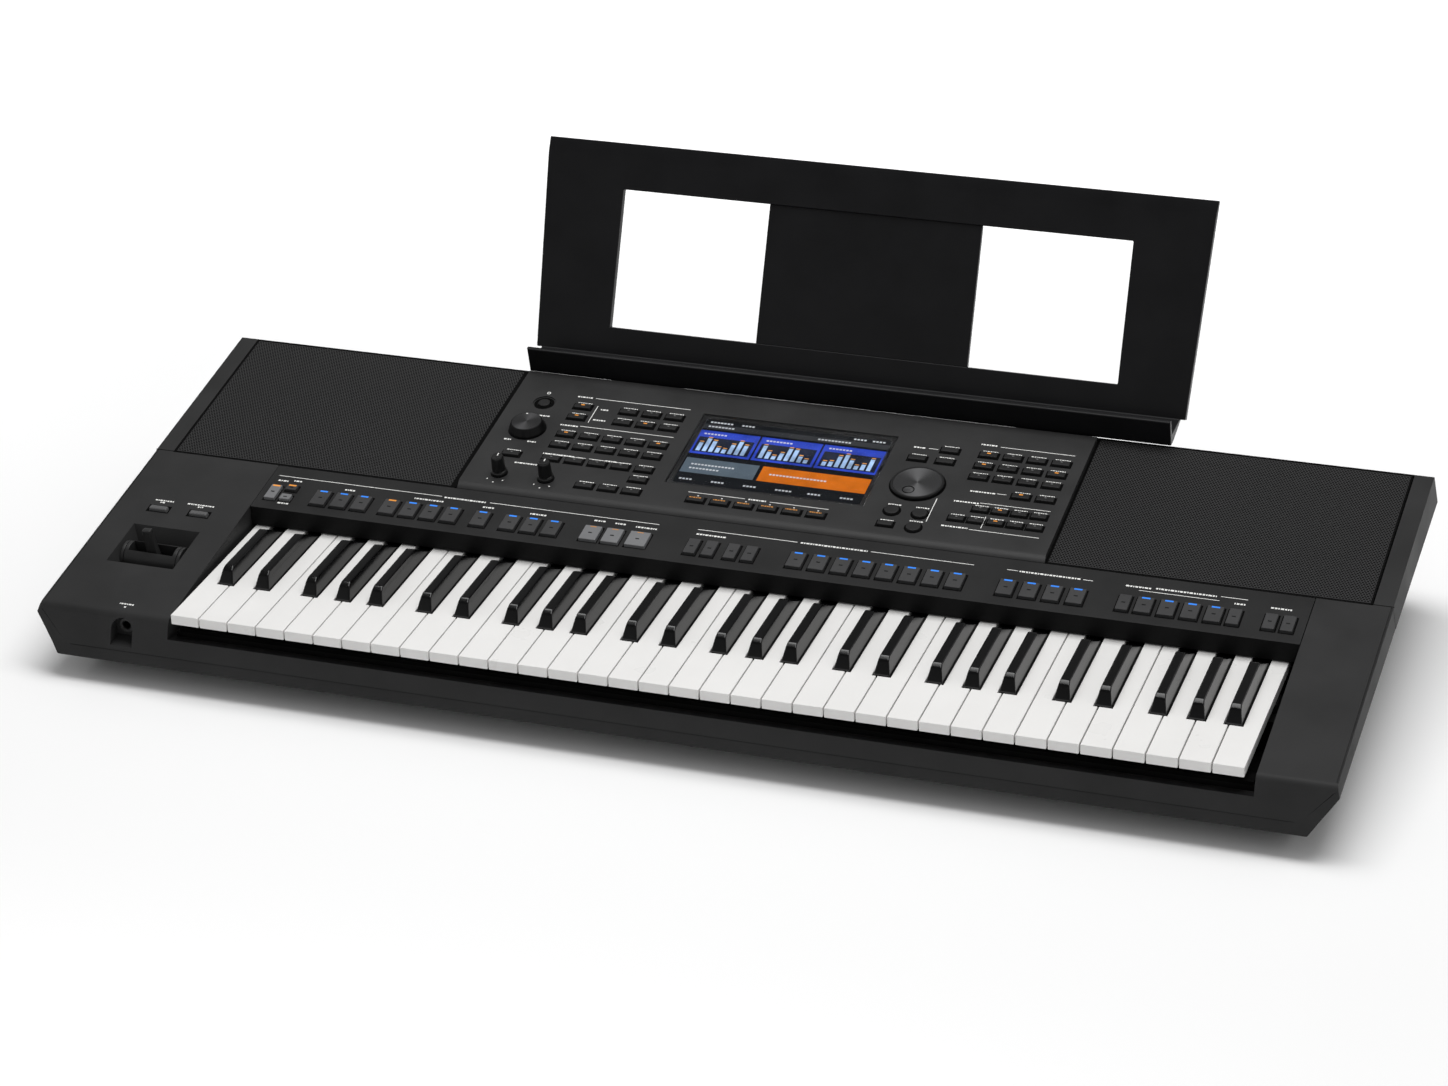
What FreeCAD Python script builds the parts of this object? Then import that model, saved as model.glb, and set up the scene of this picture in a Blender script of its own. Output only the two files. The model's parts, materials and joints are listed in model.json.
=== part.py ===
import FreeCAD, Part
import math
import os

V = FreeCAD.Vector

# Frame: +Z up from the table, +X to the player's right, -Y towards the player.
# Lengths are millimetres, angles are degrees. "Reach" is measured back from the fronts of
# the white keys, "along" is measured up the sloping deck from the same line, and heights on
# the deck are measured square to it.

# Flat sides that stand for a round outline
knob_sides = 20
round_sides = 12
hidden_sides = 8

# Keys
white_pitch = 23.5
octaves = 5
key_gap = 1.0
key_top_z = 60.0
key_dip = 10.0
white_front_height = 8.1
black_front = 55.5
black_front_rake = 6.5
black_height = 12.0
black_base_width = 12.2
black_top_width = 7.2
black_front_cut = 2.6
black_fall = 22.0
black_tail_gap = 3.0
black_after = {0: -3.6, 1: 3.2, 3: -4.2, 4: 0.0, 5: 3.2}
notch_clearance = 1.0
black_skirt = 2.5
black_stem_drop = 1.5
black_stem_setback = 2.0
key_tail = 5.0

# Case
left_cheek = 110.8
right_cheek = 59.3
well_gap_left = 2.8
well_gap_right = 7.2
wall = 3.0
fit = 0.3
deck_slope = 8.64
deck_drop = 6.0
deck_front = 1.5
deck_margin = 2.1
front_roll = 8.0
back_roll = 1.5
side_lean = 2.6
under_cut = 30.0
under_rise = 40.0
wide_drop_front = 7.4
wide_drop_back = 25.2
band_top_z = 27.0
band_top_reach = -8.0
band_low_z = 19.0
band_low_reach = -12.0
base_front = 16.0
back_lean = 6.0
back_tuck = 14.0
back_low_z = 30.0
seam_inset = 1.3
corner_cut = 26.0
corner_high_drop = 3.5
corner_radius = 9.0
slot_clearance = 1.9
slot_flange = 9.0
rib_height = 3.0
rib_inset = 12.0

# Feet, case screws and the main board
foot_height = 6.0
foot_radius = 11.0
foot_side_inset = 32.0
foot_end_inset = 26.0
screw_head_radius = 3.5
screw_head = 2.0
screw_side_inset = 82.0
screw_front_inset = 54.0
screw_back_inset = 66.0
board = 1.6
main_board_half = 190.0
main_board_length = 106.0
main_board_inset = 14.0
pillar_height = 5.0
pillar_half = 5.0
pillar_inset = 10.0

# Key bed
pivot_setback = 61.0
pivot_drop = 8.0
pivot_radius = 1.5
pivot_clearance = 0.05
pivot_rail_depth = 12.0
post_width = 2.6
post_head = 5.0
chassis_plate = 2.0
chassis_front = 12.0
front_rail_depth = 12.0
felt = 3.0
felt_gap = 0.3
contact_rail_start = 100.0
contact_rail_pitch = 36.0
contact_rail = 4.0
rubber_start = 112.0
rubber_depth = 16.0
rubber_height = 7.1
rubber_gap = 0.5

# Button panel behind the keys
strip_front = 152.7
strip_length = 56.6
strip_wall_gap = 1.0
stop_rib_depth = 5.5
board_drop = 11.0
board_post_half = 2.5
strip_board_length = 28.0
strip_board_margin = 3.3
strip_post_inset = 8.0
strip_post_count = 5

# Control panel: a left block of controls, the display and a right block
panel_left_block = 161.3
panel_right_block = 152.7
panel_length = 163.5
panel_raise = 4.0
panel_bevel = 6.0
panel_plate = 3.5
panel_skirt = 6.0
panel_board_drop = 20.0
panel_post_inset = 18.5
panel_post_window_gap = 5.0
panel_post_front = 16.7
panel_post_back = 20.8
window_width = 161.0
window_length = 95.5
window_middle = 84.9
window_glass = 2.0
window_recess = 0.4
window_ledge = 4.0
lcd_depth = 6.0

# Speakers and grilles; shares are of a speaker's radius
side_strip = 15.7
grille_gap = 1.0
grille_overhang = 3.4
grille_sheet = 1.5
grille_corner = 2.0
baffle_plate = 3.0
baffle_ledge = 12.0
woofer_radius = 56.0
tweeter_radius = 19.0
tweeter_inset = 37.5
tweeter_front = 30.7
basket_rim = 6.0
basket_lip = 2.0
basket_sheet = 2.0
basket_depth_share = 0.5
basket_back_share = 0.6
magnet_depth_share = 0.8

# Buttons: sizes are (width, length), rows of the control panel are measured from its front
button_gap = 0.3
button_taper = 0.5
button_depth = 1.5
strip_button_rise = 2.4
panel_button_rise = 2.0
power_button_rise = 0.5
strip_row_inset = 19.9
style_space = 4.35
memory_space = 4.8
panel_space = 5.0
part_space = 2.75
strip_button = (13.0, 19.0)
narrow_button = (10.0, 19.0)
start_button = (14.5, 18.5)
wide_button = (17.0, 18.5)
start_space = 3.4
tall_button = (9.5, 18.5)
small_button = (9.5, 7.5)
pair_high = 8.2
pair_low = -4.6
panel_button = (14.5, 6.8)
part_button = (12.6, 6.4)
cheek_button = (17.0, 7.0)
cheek_space = 17.7
cheek_row_along = 133.8
round_radius = 6.2
row_top = 121.5
row_second = 106.5
row_third = 91.6
row_fourth = 72.9
row_style = 82.0
row_style_low = 66.7
row_part = 50.4
row_mid = 47.9
row_part_low = 35.9
row_low = 34.0
row_base = 18.0
left_outer_column = 28.5
left_column = 62.0
menu_column = 23.4
menu_second_column = 45.7
voice_column = 76.8
part_column = 89.5
part_low_column = 74.5

# Knobs
volume_row = 83.6
volume_radius = 15.0
volume_top_radius = 12.3
volume_height = 7.3
live_row = 21.2
live_column = 67.7
live_radius = 6.5
live_top_radius = 4.8
live_height = 16.0
dial_row = 73.0
dial_column = 33.2
dial_radius = 21.0
dial_height = 2.2
dial_edge = 0.7
dimple_radius = 4.5
dimple_depth = 1.0
dimple_side = 4.2
dimple_front = 10.9
knob_lift = 0.4
knob_edge = 1.0
knob_roof = 1.0
shaft_radius = 3.0
shaft_clearance = 0.05
pot_size = 16.0
live_pot_size = 13.0
pot_depth = 8.0
power_radius = 5.2
power_ring = 9.2
power_recess = 1.0

# Joystick
stick_inset = 53.0
stick_along = 86.8
stick_width = 57.0
stick_length = 49.5
stick_side_taper = 6.0
stick_end_taper = 8.0
stick_depth = 15.0
stick_wall = 2.5
barrel_radius = 13.0
barrel_length = 44.0
barrel_drop = 13.5
barrel_slot_width = 38.0
barrel_slot_length = 12.0
trunnion_radius = 2.0
trunnion_ear = 6.0
ear_gap = 0.5
lever_width = 9.0
lever_depth = 6.5
lever_taper = 0.8
lever_length = 29.2
lever_lean = 5.0
lever_hub = 5.0
lever_pin = 1.5
lever_pin_length = 20.0

# Sockets
jack_bore = 6.4
jack_radius = 5.5
jack_length = 16.0
phones_inset = 38.5
phones_z = 42.0
phones_cup_width = 18.0
phones_cup_depth = 7.0
rear_jack_z = 62.0
rear_jack_start = -40.0
rear_jack_pitch = 28.0
rear_jack_count = 2
usb_count = 2
usb_width = 14.5
usb_height = 7.4
socket_sheet = 1.0
inlet_bore = 8.0
inlet_pin = 1.0
inlet_x = 170.0

# Music rest
rest_x = 28.0
rest_lean = 24.2
rest_setback = 26.0
rest_rise = 10.2
rest_height = 172.0
rest_sheet = 7.0
rest_half_low = 271.6
rest_half_high = 278.5
rest_window_half = 212.4
rest_window_offset = 2.6
rest_window_low = 22.0
rest_window_high = 134.5
rest_bevel = 13.0
rest_bevel_depth = 2.5
rest_centre_half = 88.5
rest_centre_offset = 4.0
rest_centre_recess = 1.5
rest_centre_sheet = 4.5
lip_half = 267.0
lip_overhang = 6.0
lip_height = 22.2
lip_foot_setback = -1.5
lip_foot_rise = 0.4
lip_sheet = 3.5
lip_crown = 1.0
tray_fall = 1.0
tray_keel = 8.0
leg_x = 170.0
leg_width = 50.0
leg_sheet = 5.0
leg_gap = 6.0
leg_root = 2.0
socket_drop = 2.8
socket_depth = 17.0
socket_wall = 4.0

# Values worked out from the sizes above
slope = math.radians(deck_slope)
lean = math.radians(rest_lean)


def flat(along):
    """Reach of a point this far up the deck."""
    return along * math.cos(slope)


def deck_z(reach):
    """Height of the deck surface."""
    return key_top_z - deck_drop + reach * math.tan(slope)


octave_width = 7 * white_pitch
well_width = octaves * octave_width + well_gap_left + well_gap_right
case_width = left_cheek + well_width + right_cheek
half_case = case_width / 2
half_top = half_case - side_lean
half_floor = half_case - under_cut
well_left = left_cheek - half_case
well_right = well_left + well_width
keys_left = well_left + well_gap_left
seam_along = strip_front + strip_length
seam_reach = flat(seam_along)
seam_half = half_top - seam_inset
panel_back = seam_along + panel_length
grille_back = panel_back + grille_overhang
deck_back = flat(grille_back + deck_margin)
deck_back_z = deck_z(deck_back)
back_reach = deck_back + back_lean
base_back = back_reach - back_tuck
front_of_case = band_low_reach - 2 * wall
behind_case = back_reach + 2 * wall
rest_foot_reach = deck_back + rest_setback
rest_foot_z = deck_back_z + rest_rise
rest_back_reach = rest_foot_reach + rest_height * math.sin(lean) + rest_sheet * math.cos(lean)
sky = rest_foot_z + rest_height
key_front_y = -(rest_back_reach + band_low_reach) / 2
floor_top_z = foot_height + wall
chassis_z = floor_top_z + rib_height
cheek_skirt_z = band_top_z + wall
strip_reach = flat(strip_front)
black_end = strip_reach - black_tail_gap
pivot_reach = strip_reach + pivot_setback
pivot_z = key_top_z - pivot_drop
key_end = pivot_reach + key_tail
white_low_z = key_top_z - white_front_height
slot_floor_z = white_low_z - key_dip - slot_clearance
notch_half = black_base_width / 2 + notch_clearance
rod_hole_radius = pivot_radius + pivot_clearance
panel_width = panel_left_block + window_width + panel_right_block
half_panel = panel_width / 2
window_left = panel_left_block - half_panel
window_right = window_left + window_width
window_x = (window_left + window_right) / 2
window_along = seam_along + window_middle
panel_under = panel_raise - panel_plate
grille_outer = half_top - side_strip
stick_x = well_left - stick_inset
phones_x = well_left - phones_inset


def at(reach):
    """Y of a point this far behind the white-key fronts."""
    return key_front_y + reach


def wide_z(reach):
    """Height of the widest line of the sides, which drops further below the deck to the back."""
    return deck_z(reach) - wide_drop_front - (wide_drop_back - wide_drop_front) * reach / back_reach


def key_sink(reach):
    """How far a fully pressed key has sunk at this reach."""
    return key_dip * (pivot_reach - reach) / pivot_reach


# Shape helpers


def box(x0, x1, y0, y1, z0, z1):
    return Part.makeBox(x1 - x0, y1 - y0, z1 - z0, V(x0, y0, z0))


def reach_box(x0, x1, r0, r1, z0, z1):
    return box(x0, x1, at(r0), at(r1), z0, z1)


def rod(start, run, radius, sides):
    """Rod with flat sides along a vector, its corners on a circle of this radius."""
    across = run.cross(V(run.y, run.z, run.x)).normalize()
    other = run.cross(across).normalize()
    corners = []
    for i in range(sides):
        turn = 2 * math.pi * (i + 0.5) / sides
        corners.append(start + across * (radius * math.cos(turn)) + other * (radius * math.sin(turn)))
    return plate(corners, run)


def bore(start, run, radius, sides):
    """Cutter with flat sides that clears a circle of this radius."""
    return rod(start, run, radius / math.cos(math.pi / sides), sides)


def level(shape, x, reach, z, radius, length):
    """Rod or bore lying front to back, from this reach backwards."""
    return shape(V(x, at(reach), z), V(0, length, 0), radius, round_sides)


def plug_bore(x, reach, z, radius, length):
    """Round bore for a plug, from this reach backwards."""
    return Part.makeCylinder(radius, length, V(x, at(reach), z), V(0, 1, 0))


def rounded_wire(points, radii):
    """Closed wire through the points, with a tangent arc at each corner that has a radius."""
    count = len(points)
    starts = []
    ends = []
    arcs = []
    for i in range(count):
        corner = points[i]
        if radii[i] == 0:
            starts.append(corner)
            ends.append(corner)
            arcs.append(None)
            continue
        back = (points[i - 1] - corner).normalize()
        ahead = (points[(i + 1) % count] - corner).normalize()
        half = back.getAngle(ahead) / 2
        start = corner + back * (radii[i] / math.tan(half))
        end = corner + ahead * (radii[i] / math.tan(half))
        middle = corner + (back + ahead).normalize() * (radii[i] / math.sin(half) - radii[i])
        starts.append(start)
        ends.append(end)
        arcs.append(Part.Arc(start, middle, end).toShape())
    edges = []
    for i in range(count):
        if arcs[i]:
            edges.append(arcs[i])
        edges.append(Part.makeLine(ends[i], starts[(i + 1) % count]))
    return Part.Wire(edges)


def plate(corners, thickness):
    """Flat face through the corners, drawn out by a vector."""
    return Part.Face(Part.makePolygon(corners + [corners[0]])).extrude(thickness)


def side_prism(points, x0, x1, radii=None):
    """Outline of (reach, z) points, drawn from x0 to x1."""
    corners = [V(x0, at(reach), z) for reach, z in points]
    wire = rounded_wire(corners, radii or [0] * len(points))
    return Part.Face(wire).extrude(V(x1 - x0, 0, 0))


def front_prism(points, r0, r1, radii=None):
    """Outline of (x, z) points, drawn back from reach r0 to r1."""
    corners = [V(x, at(r0), z) for x, z in points]
    wire = rounded_wire(corners, radii or [0] * len(points))
    return Part.Face(wire).extrude(V(0, r1 - r0, 0))


def on_deck(shape):
    """Moves a shape drawn as (x, along, height) onto the sloping deck."""
    shape.rotate(V(0, 0, 0), V(1, 0, 0), deck_slope)
    shape.translate(V(0, key_front_y, deck_z(0)))
    return shape


def deck_box(x0, x1, a0, a1, h0, h1):
    return on_deck(box(x0, x1, a0, a1, h0, h1))


def deck_bore(place, radius, h0, h1, sides):
    return on_deck(bore(V(place[0], place[1], h0), V(0, 0, h1 - h0), radius, sides))


def deck_post(place, half, h0, h1):
    return deck_box(place[0] - half, place[0] + half, place[1] - half, place[1] + half, h0, h1)


def frustum(width, length, x, a, h0, h1, side_taper, end_taper):
    """Block in deck coordinates whose top is smaller, or larger, than its base."""
    half_w = width / 2
    half_l = length / 2
    block = Part.makeWedge(x - half_w, h0, -a - half_l, end_taper - a - half_l, x - half_w + side_taper,
                           x + half_w, h1, half_l - a, half_l - a - end_taper, x + half_w - side_taper)
    block.rotate(V(0, 0, 0), V(1, 0, 0), 90)
    return block


def turned(points, sides):
    """Flat-sided ring, cone or knob in deck coordinates round the Z axis, from (radius, height) points."""
    step = 2 * math.pi / sides
    faces = []
    for i in range(sides):
        ring = [[V(radius * math.cos(turn), radius * math.sin(turn), height) for radius, height in points]
                for turn in (i * step, (i + 1) * step)]
        for j in range(len(points)):
            k = (j + 1) % len(points)
            corners = [ring[0][j], ring[1][j], ring[1][k], ring[0][k]]
            if points[j][0] == 0:
                corners.pop(1)
            if points[k][0] == 0:
                corners.pop()
            if len(corners) > 2:
                faces.append(Part.Face(Part.makePolygon(corners + [corners[0]])))
    return Part.Solid(Part.Shell(faces))


def group(solids):
    return Part.makeCompound(solids)


def fused(first, others):
    return first.fuse(others).removeSplitter()


# Case: one outer form, hollowed and parted along its seams


def mirrored(right):
    """Closed outline of the points and their mirror images across the middle of the case."""
    left = [V(-p.x, p.y, p.z) for p in reversed(right)]
    return Part.makePolygon(right + left + [right[0]])


def side_section(reach, inset):
    """Cross outline whose leaning side runs from below the widest line to above the deck."""
    y = at(reach)
    high = deck_z(reach)
    low = wide_z(reach)
    beyond = half_case + side_lean - inset
    return mirrored([V(beyond, y, -under_rise), V(beyond, y, 2 * low - high), V(half_top - inset, y, high),
                     V(half_top - inset - wall, y, high + 2 * wall)])


def under_section(reach, inset):
    """Cross outline of the foot and the slope that leads out to the widest line and past it."""
    y = at(reach)
    low = wide_z(reach)
    foot = half_floor - inset
    wide = half_case + under_cut - inset
    return mirrored([V(foot, y, -under_rise), V(foot, y, low - under_rise), V(wide, y, low + under_rise),
                     V(wide, y, sky)])


def case_form(inset):
    """Outer form of the case, or the hollow inside it when inset is the wall."""
    profile = [(base_front, foot_height), (band_low_reach, band_low_z), (band_top_reach, band_top_z),
               (deck_front, deck_z(deck_front)), (deck_back, deck_back_z),
               (back_reach, wide_z(back_reach)), (back_reach, back_low_z), (base_back, foot_height)]
    radii = [0, 0, 0, front_roll, back_roll, 0, 0, 0]
    side_face = Part.Face(rounded_wire([V(-half_case, at(reach), z) for reach, z in profile], radii))
    if inset:
        side_face = side_face.makeOffset2D(-inset)
    body = side_face.extrude(V(case_width, 0, 0))
    ends = (band_low_reach - wall, back_reach + wall)
    sides = Part.makeLoft([side_section(reach, inset) for reach in ends], True, True)
    rise = V(0, ends[1] - ends[0], wide_z(ends[1]) - wide_z(ends[0]))
    under = Part.Face(under_section(ends[0], inset)).extrude(rise)
    return body.common(sides).common(under)


case_outside = case_form(0)
case_hollow = case_form(wall)
case_shell = case_outside.cut(case_hollow)


def upper_region():
    """Space of the upper case: the front face, down to the band, and the deck of the cheeks."""
    low_half = half_case - corner_cut
    corner_z = deck_z(0) - corner_high_drop
    outline = [(-low_half, band_top_z), (low_half, band_top_z), (seam_half, corner_z),
               (seam_half, sky), (-seam_half, sky), (-seam_half, corner_z)]
    radii = [corner_radius, corner_radius, 0, 0, 0, 0]
    front_end = deck_front + front_roll + wall
    front = front_prism(outline, front_of_case, front_end, radii)
    under = 2 * wall
    deck = [(front_end, deck_z(front_end) - under), (seam_reach, deck_z(seam_reach) - under),
            (seam_reach, sky), (front_end, sky)]
    return front.fuse(side_prism(deck, -seam_half, seam_half))


def rear_region():
    """Space of the rear case: behind the seam and above the widest line."""
    outline = [(seam_reach, wide_z(seam_reach)), (behind_case, wide_z(behind_case)),
               (behind_case, sky), (seam_reach, sky)]
    return side_prism(outline, -case_width, case_width)


def stick_pocket(grow):
    """Tapered joystick well, or the block round it when grow is the wall."""
    width = stick_width + 2 * (grow - stick_side_taper)
    length = stick_length + 2 * (grow - stick_end_taper)
    return on_deck(frustum(width, length, stick_x, stick_along, -stick_depth, 0,
                           -stick_side_taper, -stick_end_taper))


def upper_case():
    shell = case_shell.common(upper_region())
    shell = shell.cut(reach_box(well_left, well_right, front_of_case, seam_reach + wall, slot_floor_z, sky))
    inside = case_outside.cut(rear_region())
    left_wall = reach_box(well_left - wall, well_left, front_of_case, seam_reach, cheek_skirt_z, sky)
    right_wall = reach_box(well_right, well_right + wall, front_of_case, seam_reach, cheek_skirt_z, sky)
    flange = reach_box(well_left, well_right, front_of_case, band_top_reach + wall + slot_flange,
                       slot_floor_z - wall, slot_floor_z)
    cup_half = phones_cup_width / 2 + wall
    cup = reach_box(phones_x - cup_half, phones_x + cup_half, front_of_case, phones_cup_depth + wall,
                    cheek_skirt_z, deck_z(0) - wall)
    extras = [piece.common(inside) for piece in (left_wall, right_wall, flange, cup)]
    ears = [stick_ear(side) for side in (-1, 1)]
    case = fused(shell, extras + [stick_pocket(stick_wall)] + ears)
    case = case.cut([stick_pocket(0), stick_floor_hole(), trunnion_hole()])
    return case.cut([phones_recess(), phones_hole()] + [button_hole(place, 0, wall) for place in cheek_row])


def stick_ear(side):
    """Bearing ear for a trunnion of the joystick barrel, under the end of the well."""
    near = barrel_length / 2 + ear_gap
    x0 = stick_x + min(side * near, side * (near + trunnion_ear))
    half = trunnion_radius + stick_wall
    return deck_box(x0, x0 + trunnion_ear, stick_along - half, stick_along + half,
                    -barrel_drop - half, -stick_wall)


def stick_floor_hole():
    """Opening in the floor of the well that the barrel stands in."""
    half_w = barrel_length / 2 + ear_gap
    half_l = barrel_radius + 2 * ear_gap
    return deck_box(stick_x - half_w, stick_x + half_w, stick_along - half_l, stick_along + half_l,
                    -barrel_drop - barrel_radius - stick_depth, -barrel_drop + barrel_radius)


def trunnion_hole():
    span = barrel_length + 4 * trunnion_ear
    return on_deck(bore(V(stick_x - span / 2, stick_along, -barrel_drop), V(span, 0, 0),
                        trunnion_radius + shaft_clearance, hidden_sides))


def phones_recess():
    """Arched cup in the front face, with a floor that slopes out to the band."""
    half = phones_cup_width / 2
    body = reach_box(phones_x - half, phones_x + half, front_of_case, phones_cup_depth, band_top_z, phones_z)
    arch = plug_bore(phones_x, front_of_case, phones_z, half, phones_cup_depth - front_of_case)
    floor = side_prism([(front_of_case, band_top_z), (phones_cup_depth, band_top_z),
                        (phones_cup_depth, phones_z - half), (band_top_reach, cheek_skirt_z)],
                       phones_x - half, phones_x + half)
    return body.fuse(arch).cut(floor)


def phones_hole():
    return plug_bore(phones_x, phones_cup_depth - wall, phones_z, jack_radius + fit / 2, jack_length)


board_floor_z = floor_top_z + pillar_height
main_board_back = base_back - main_board_inset
main_board_front = main_board_back - main_board_length


def bottom_case():
    """Tray with ribs that carry the key bed and pillars that carry the main board."""
    tray = case_shell.cut([upper_region(), rear_region()])
    ribs = [reach_box(well_left, well_right, reach, reach + wall, foot_height, chassis_z)
            for reach in (base_front + rib_inset, pivot_reach / 2, pivot_reach)]
    pillar_x = main_board_half - pillar_inset
    pillars = [reach_box(x - pillar_half, x + pillar_half, reach - pillar_half, reach + pillar_half,
                         foot_height, board_floor_z) for x in (-pillar_x, pillar_x)
               for reach in (main_board_front + pillar_inset, main_board_back - pillar_inset)]
    return fused(tray, ribs + pillars).cut(rear_openings())


def main_board():
    return reach_box(-main_board_half, main_board_half, main_board_front, main_board_back,
                     board_floor_z, board_floor_z + board)


def rear_case():
    """Frame round the grilles and the control panel, with the speaker baffle and the rest's sockets."""
    shell = case_shell.common(rear_region())
    opening = grille_outer + grille_gap
    baffle_low = -panel_skirt - baffle_plate
    shell = shell.cut(deck_box(-opening, opening, 0, grille_back + grille_gap, baffle_low - wall, sky))
    baffle = deck_box(-half_case, half_case, seam_along + fit, grille_back + deck_margin + wall,
                      baffle_low, -panel_skirt)
    baffle = baffle.common(case_outside.common(rear_region()))
    case = fused(shell, [baffle] + [rest_socket(side) for side in (-1, 1)])
    hole_half = half_panel - baffle_ledge
    holes = [deck_box(-hole_half, hole_half, seam_along + baffle_ledge, panel_back - baffle_ledge,
                      baffle_low - wall, 0)]
    for x, along, radius in speaker_places():
        holes.append(deck_bore((x, along), radius, baffle_low - wall, 0, hidden_sides))
    return case.cut(holes)


socket_high_z = deck_back_z - socket_drop
socket_low_z = socket_high_z - socket_depth
leg_reach = back_reach + leg_gap


def rest_socket(side):
    """Pocket on the back wall that takes a leg of the music rest."""
    x = rest_x + side * leg_x
    half_w = leg_width / 2 + fit
    half_l = leg_sheet / 2 + fit
    block = reach_box(x - half_w - socket_wall, x + half_w + socket_wall, back_reach - 2 * wall,
                      leg_reach + half_l + socket_wall, socket_low_z - socket_wall, socket_high_z)
    slot = reach_box(x - half_w, x + half_w, leg_reach - half_l, leg_reach + half_l, socket_low_z, sky)
    return block.cut([case_hollow, slot])


# Keys


def black_centre(index):
    """X of the black key after white key number index of an octave, from the octave's left edge."""
    return (index + 1) * white_pitch + black_after[index]


def rod_notch():
    """Notch under the tail of a key that sits over the pivot rod."""
    return reach_box(0, octave_width, pivot_reach - rod_hole_radius, pivot_reach + rod_hole_radius,
                     white_low_z - wall, pivot_z + rod_hole_radius)


def white_key(index):
    left = index * white_pitch + key_gap / 2
    right = (index + 1) * white_pitch - key_gap / 2
    stem_left = left
    stem_right = right
    if index - 1 in black_after:
        stem_left = black_centre(index - 1) + notch_half
    if index in black_after:
        stem_right = black_centre(index) - notch_half
    head_end = black_front - notch_clearance
    head = reach_box(left, right, 0, head_end, white_low_z, key_top_z)
    stem = reach_box(stem_left, stem_right, head_end, key_end, white_low_z, key_top_z)
    return fused(head, [stem]).cut(rod_notch())


def black_key(index):
    """Raked cap that narrows upwards and falls away at its tail, on a narrower stem."""
    centre = black_centre(index)
    top = key_top_z + black_height
    half_base = black_base_width / 2
    half_crown = black_top_width / 2
    cap_low = key_top_z - black_skirt
    crest = black_front + black_front_rake
    cut = black_front_cut / math.hypot(black_front_rake, black_height)
    side = [(black_front, cap_low), (black_front, key_top_z),
            (crest - black_front_rake * cut, top - black_height * cut), (crest + black_front_cut, top),
            (black_end - black_fall, top), (black_end, key_top_z), (black_end, cap_low)]
    cap = side_prism(side, centre - half_base, centre + half_base)
    face = [(centre - half_base, cap_low), (centre + half_base, cap_low), (centre + half_base, key_top_z),
            (centre + half_crown, top), (centre - half_crown, top), (centre - half_base, key_top_z)]
    cap = cap.common(front_prism(face, 0, key_end))
    stem_half = half_base - notch_clearance
    stem = reach_box(centre - stem_half, centre + stem_half, black_front + black_stem_setback, key_end,
                     white_low_z, key_top_z - black_stem_drop)
    return fused(cap, [stem]).cut(rod_notch())


def key_set(key):
    """The same key of every octave."""
    copies = []
    for octave in range(octaves):
        copy = key.copy()
        copy.translate(V(keys_left + octave * octave_width, 0, 0))
        copies.append(copy)
    return group(copies)


# Key bed under the keys

lower_felt_z = white_low_z - key_sink(chassis_front) - felt_gap
upper_felt_z = key_top_z + felt_gap
rubber_top_z = white_low_z - key_sink(rubber_start) - rubber_gap
contact_board_z = rubber_top_z - rubber_height - board
bed_left = well_left + fit
bed_right = well_right - fit


def key_chassis():
    """Plate with a stop rail, two rails for the contact board, a pivot rail and slotted end posts."""
    half = pivot_rail_depth / 2
    bed_back = pivot_reach + half
    base = reach_box(bed_left, bed_right, chassis_front, bed_back, chassis_z, chassis_z + chassis_plate)
    rails = [reach_box(bed_left, bed_right, chassis_front, chassis_front + front_rail_depth,
                       chassis_z, lower_felt_z - felt)]
    for start in (contact_rail_start, contact_rail_start + contact_rail_pitch):
        rails.append(reach_box(bed_left, bed_right, start, start + contact_rail, chassis_z, contact_board_z))
    rails.append(reach_box(bed_left, bed_right, pivot_reach - half, bed_back,
                           chassis_z, pivot_z - rod_hole_radius))
    for x in (bed_left, bed_right - post_width):
        rails.append(reach_box(x, x + post_width, pivot_reach - half, bed_back,
                               chassis_z, pivot_z + post_head))
    seat = reach_box(bed_left, bed_right, pivot_reach - rod_hole_radius, pivot_reach + rod_hole_radius,
                     pivot_z - rod_hole_radius, pivot_z + 2 * post_head)
    return fused(base, rails).cut(seat)


def key_pivot_rod():
    return Part.makeCylinder(pivot_radius, bed_right - bed_left,
                             V(bed_left, at(pivot_reach), pivot_z), V(1, 0, 0))


def key_stop_felts():
    """Upper felt under the button panel's rib and lower felt on the stop rail."""
    rib_start = strip_reach + wall
    upper = reach_box(bed_left + wall, bed_right - wall, rib_start, rib_start + stop_rib_depth,
                      upper_felt_z, upper_felt_z + felt)
    lower = reach_box(bed_left + wall, bed_right - wall, chassis_front, chassis_front + front_rail_depth,
                      lower_felt_z - felt, lower_felt_z)
    return group([upper, lower])


def key_contact_board():
    return reach_box(bed_left + wall, bed_right - wall, contact_rail_start,
                     contact_rail_start + contact_rail_pitch + contact_rail,
                     contact_board_z, contact_board_z + board)


def contact_rubbers():
    """One rubber strip for each octave, standing just under the sunk keys."""
    strips = []
    for octave in range(octaves):
        left = keys_left + octave * octave_width
        strips.append(reach_box(left + key_gap, left + octave_width - key_gap, rubber_start,
                                rubber_start + rubber_depth, contact_board_z + board, rubber_top_z))
    return group(strips)


# Buttons: each row is a list of (x, along, size)

strip_row = strip_front + strip_row_inset


def over_key(count):
    """X above the keys, counted in white keys from their left end."""
    return keys_left + count * white_pitch


def row(first, count, along, size, space):
    return [(first + (size[0] + space) * i, along, size) for i in range(count)]


def strip_group(key, count, size, space):
    return row(over_key(key), count, strip_row, size, space)


def left_group(column, count, place):
    first = left_column - half_panel + column * (panel_button[0] + panel_space)
    return row(first, count, seam_along + place, panel_button, panel_space)


def right_group(first, count, place, size, space):
    return row(window_right + first, count, seam_along + place, size, space)


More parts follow.
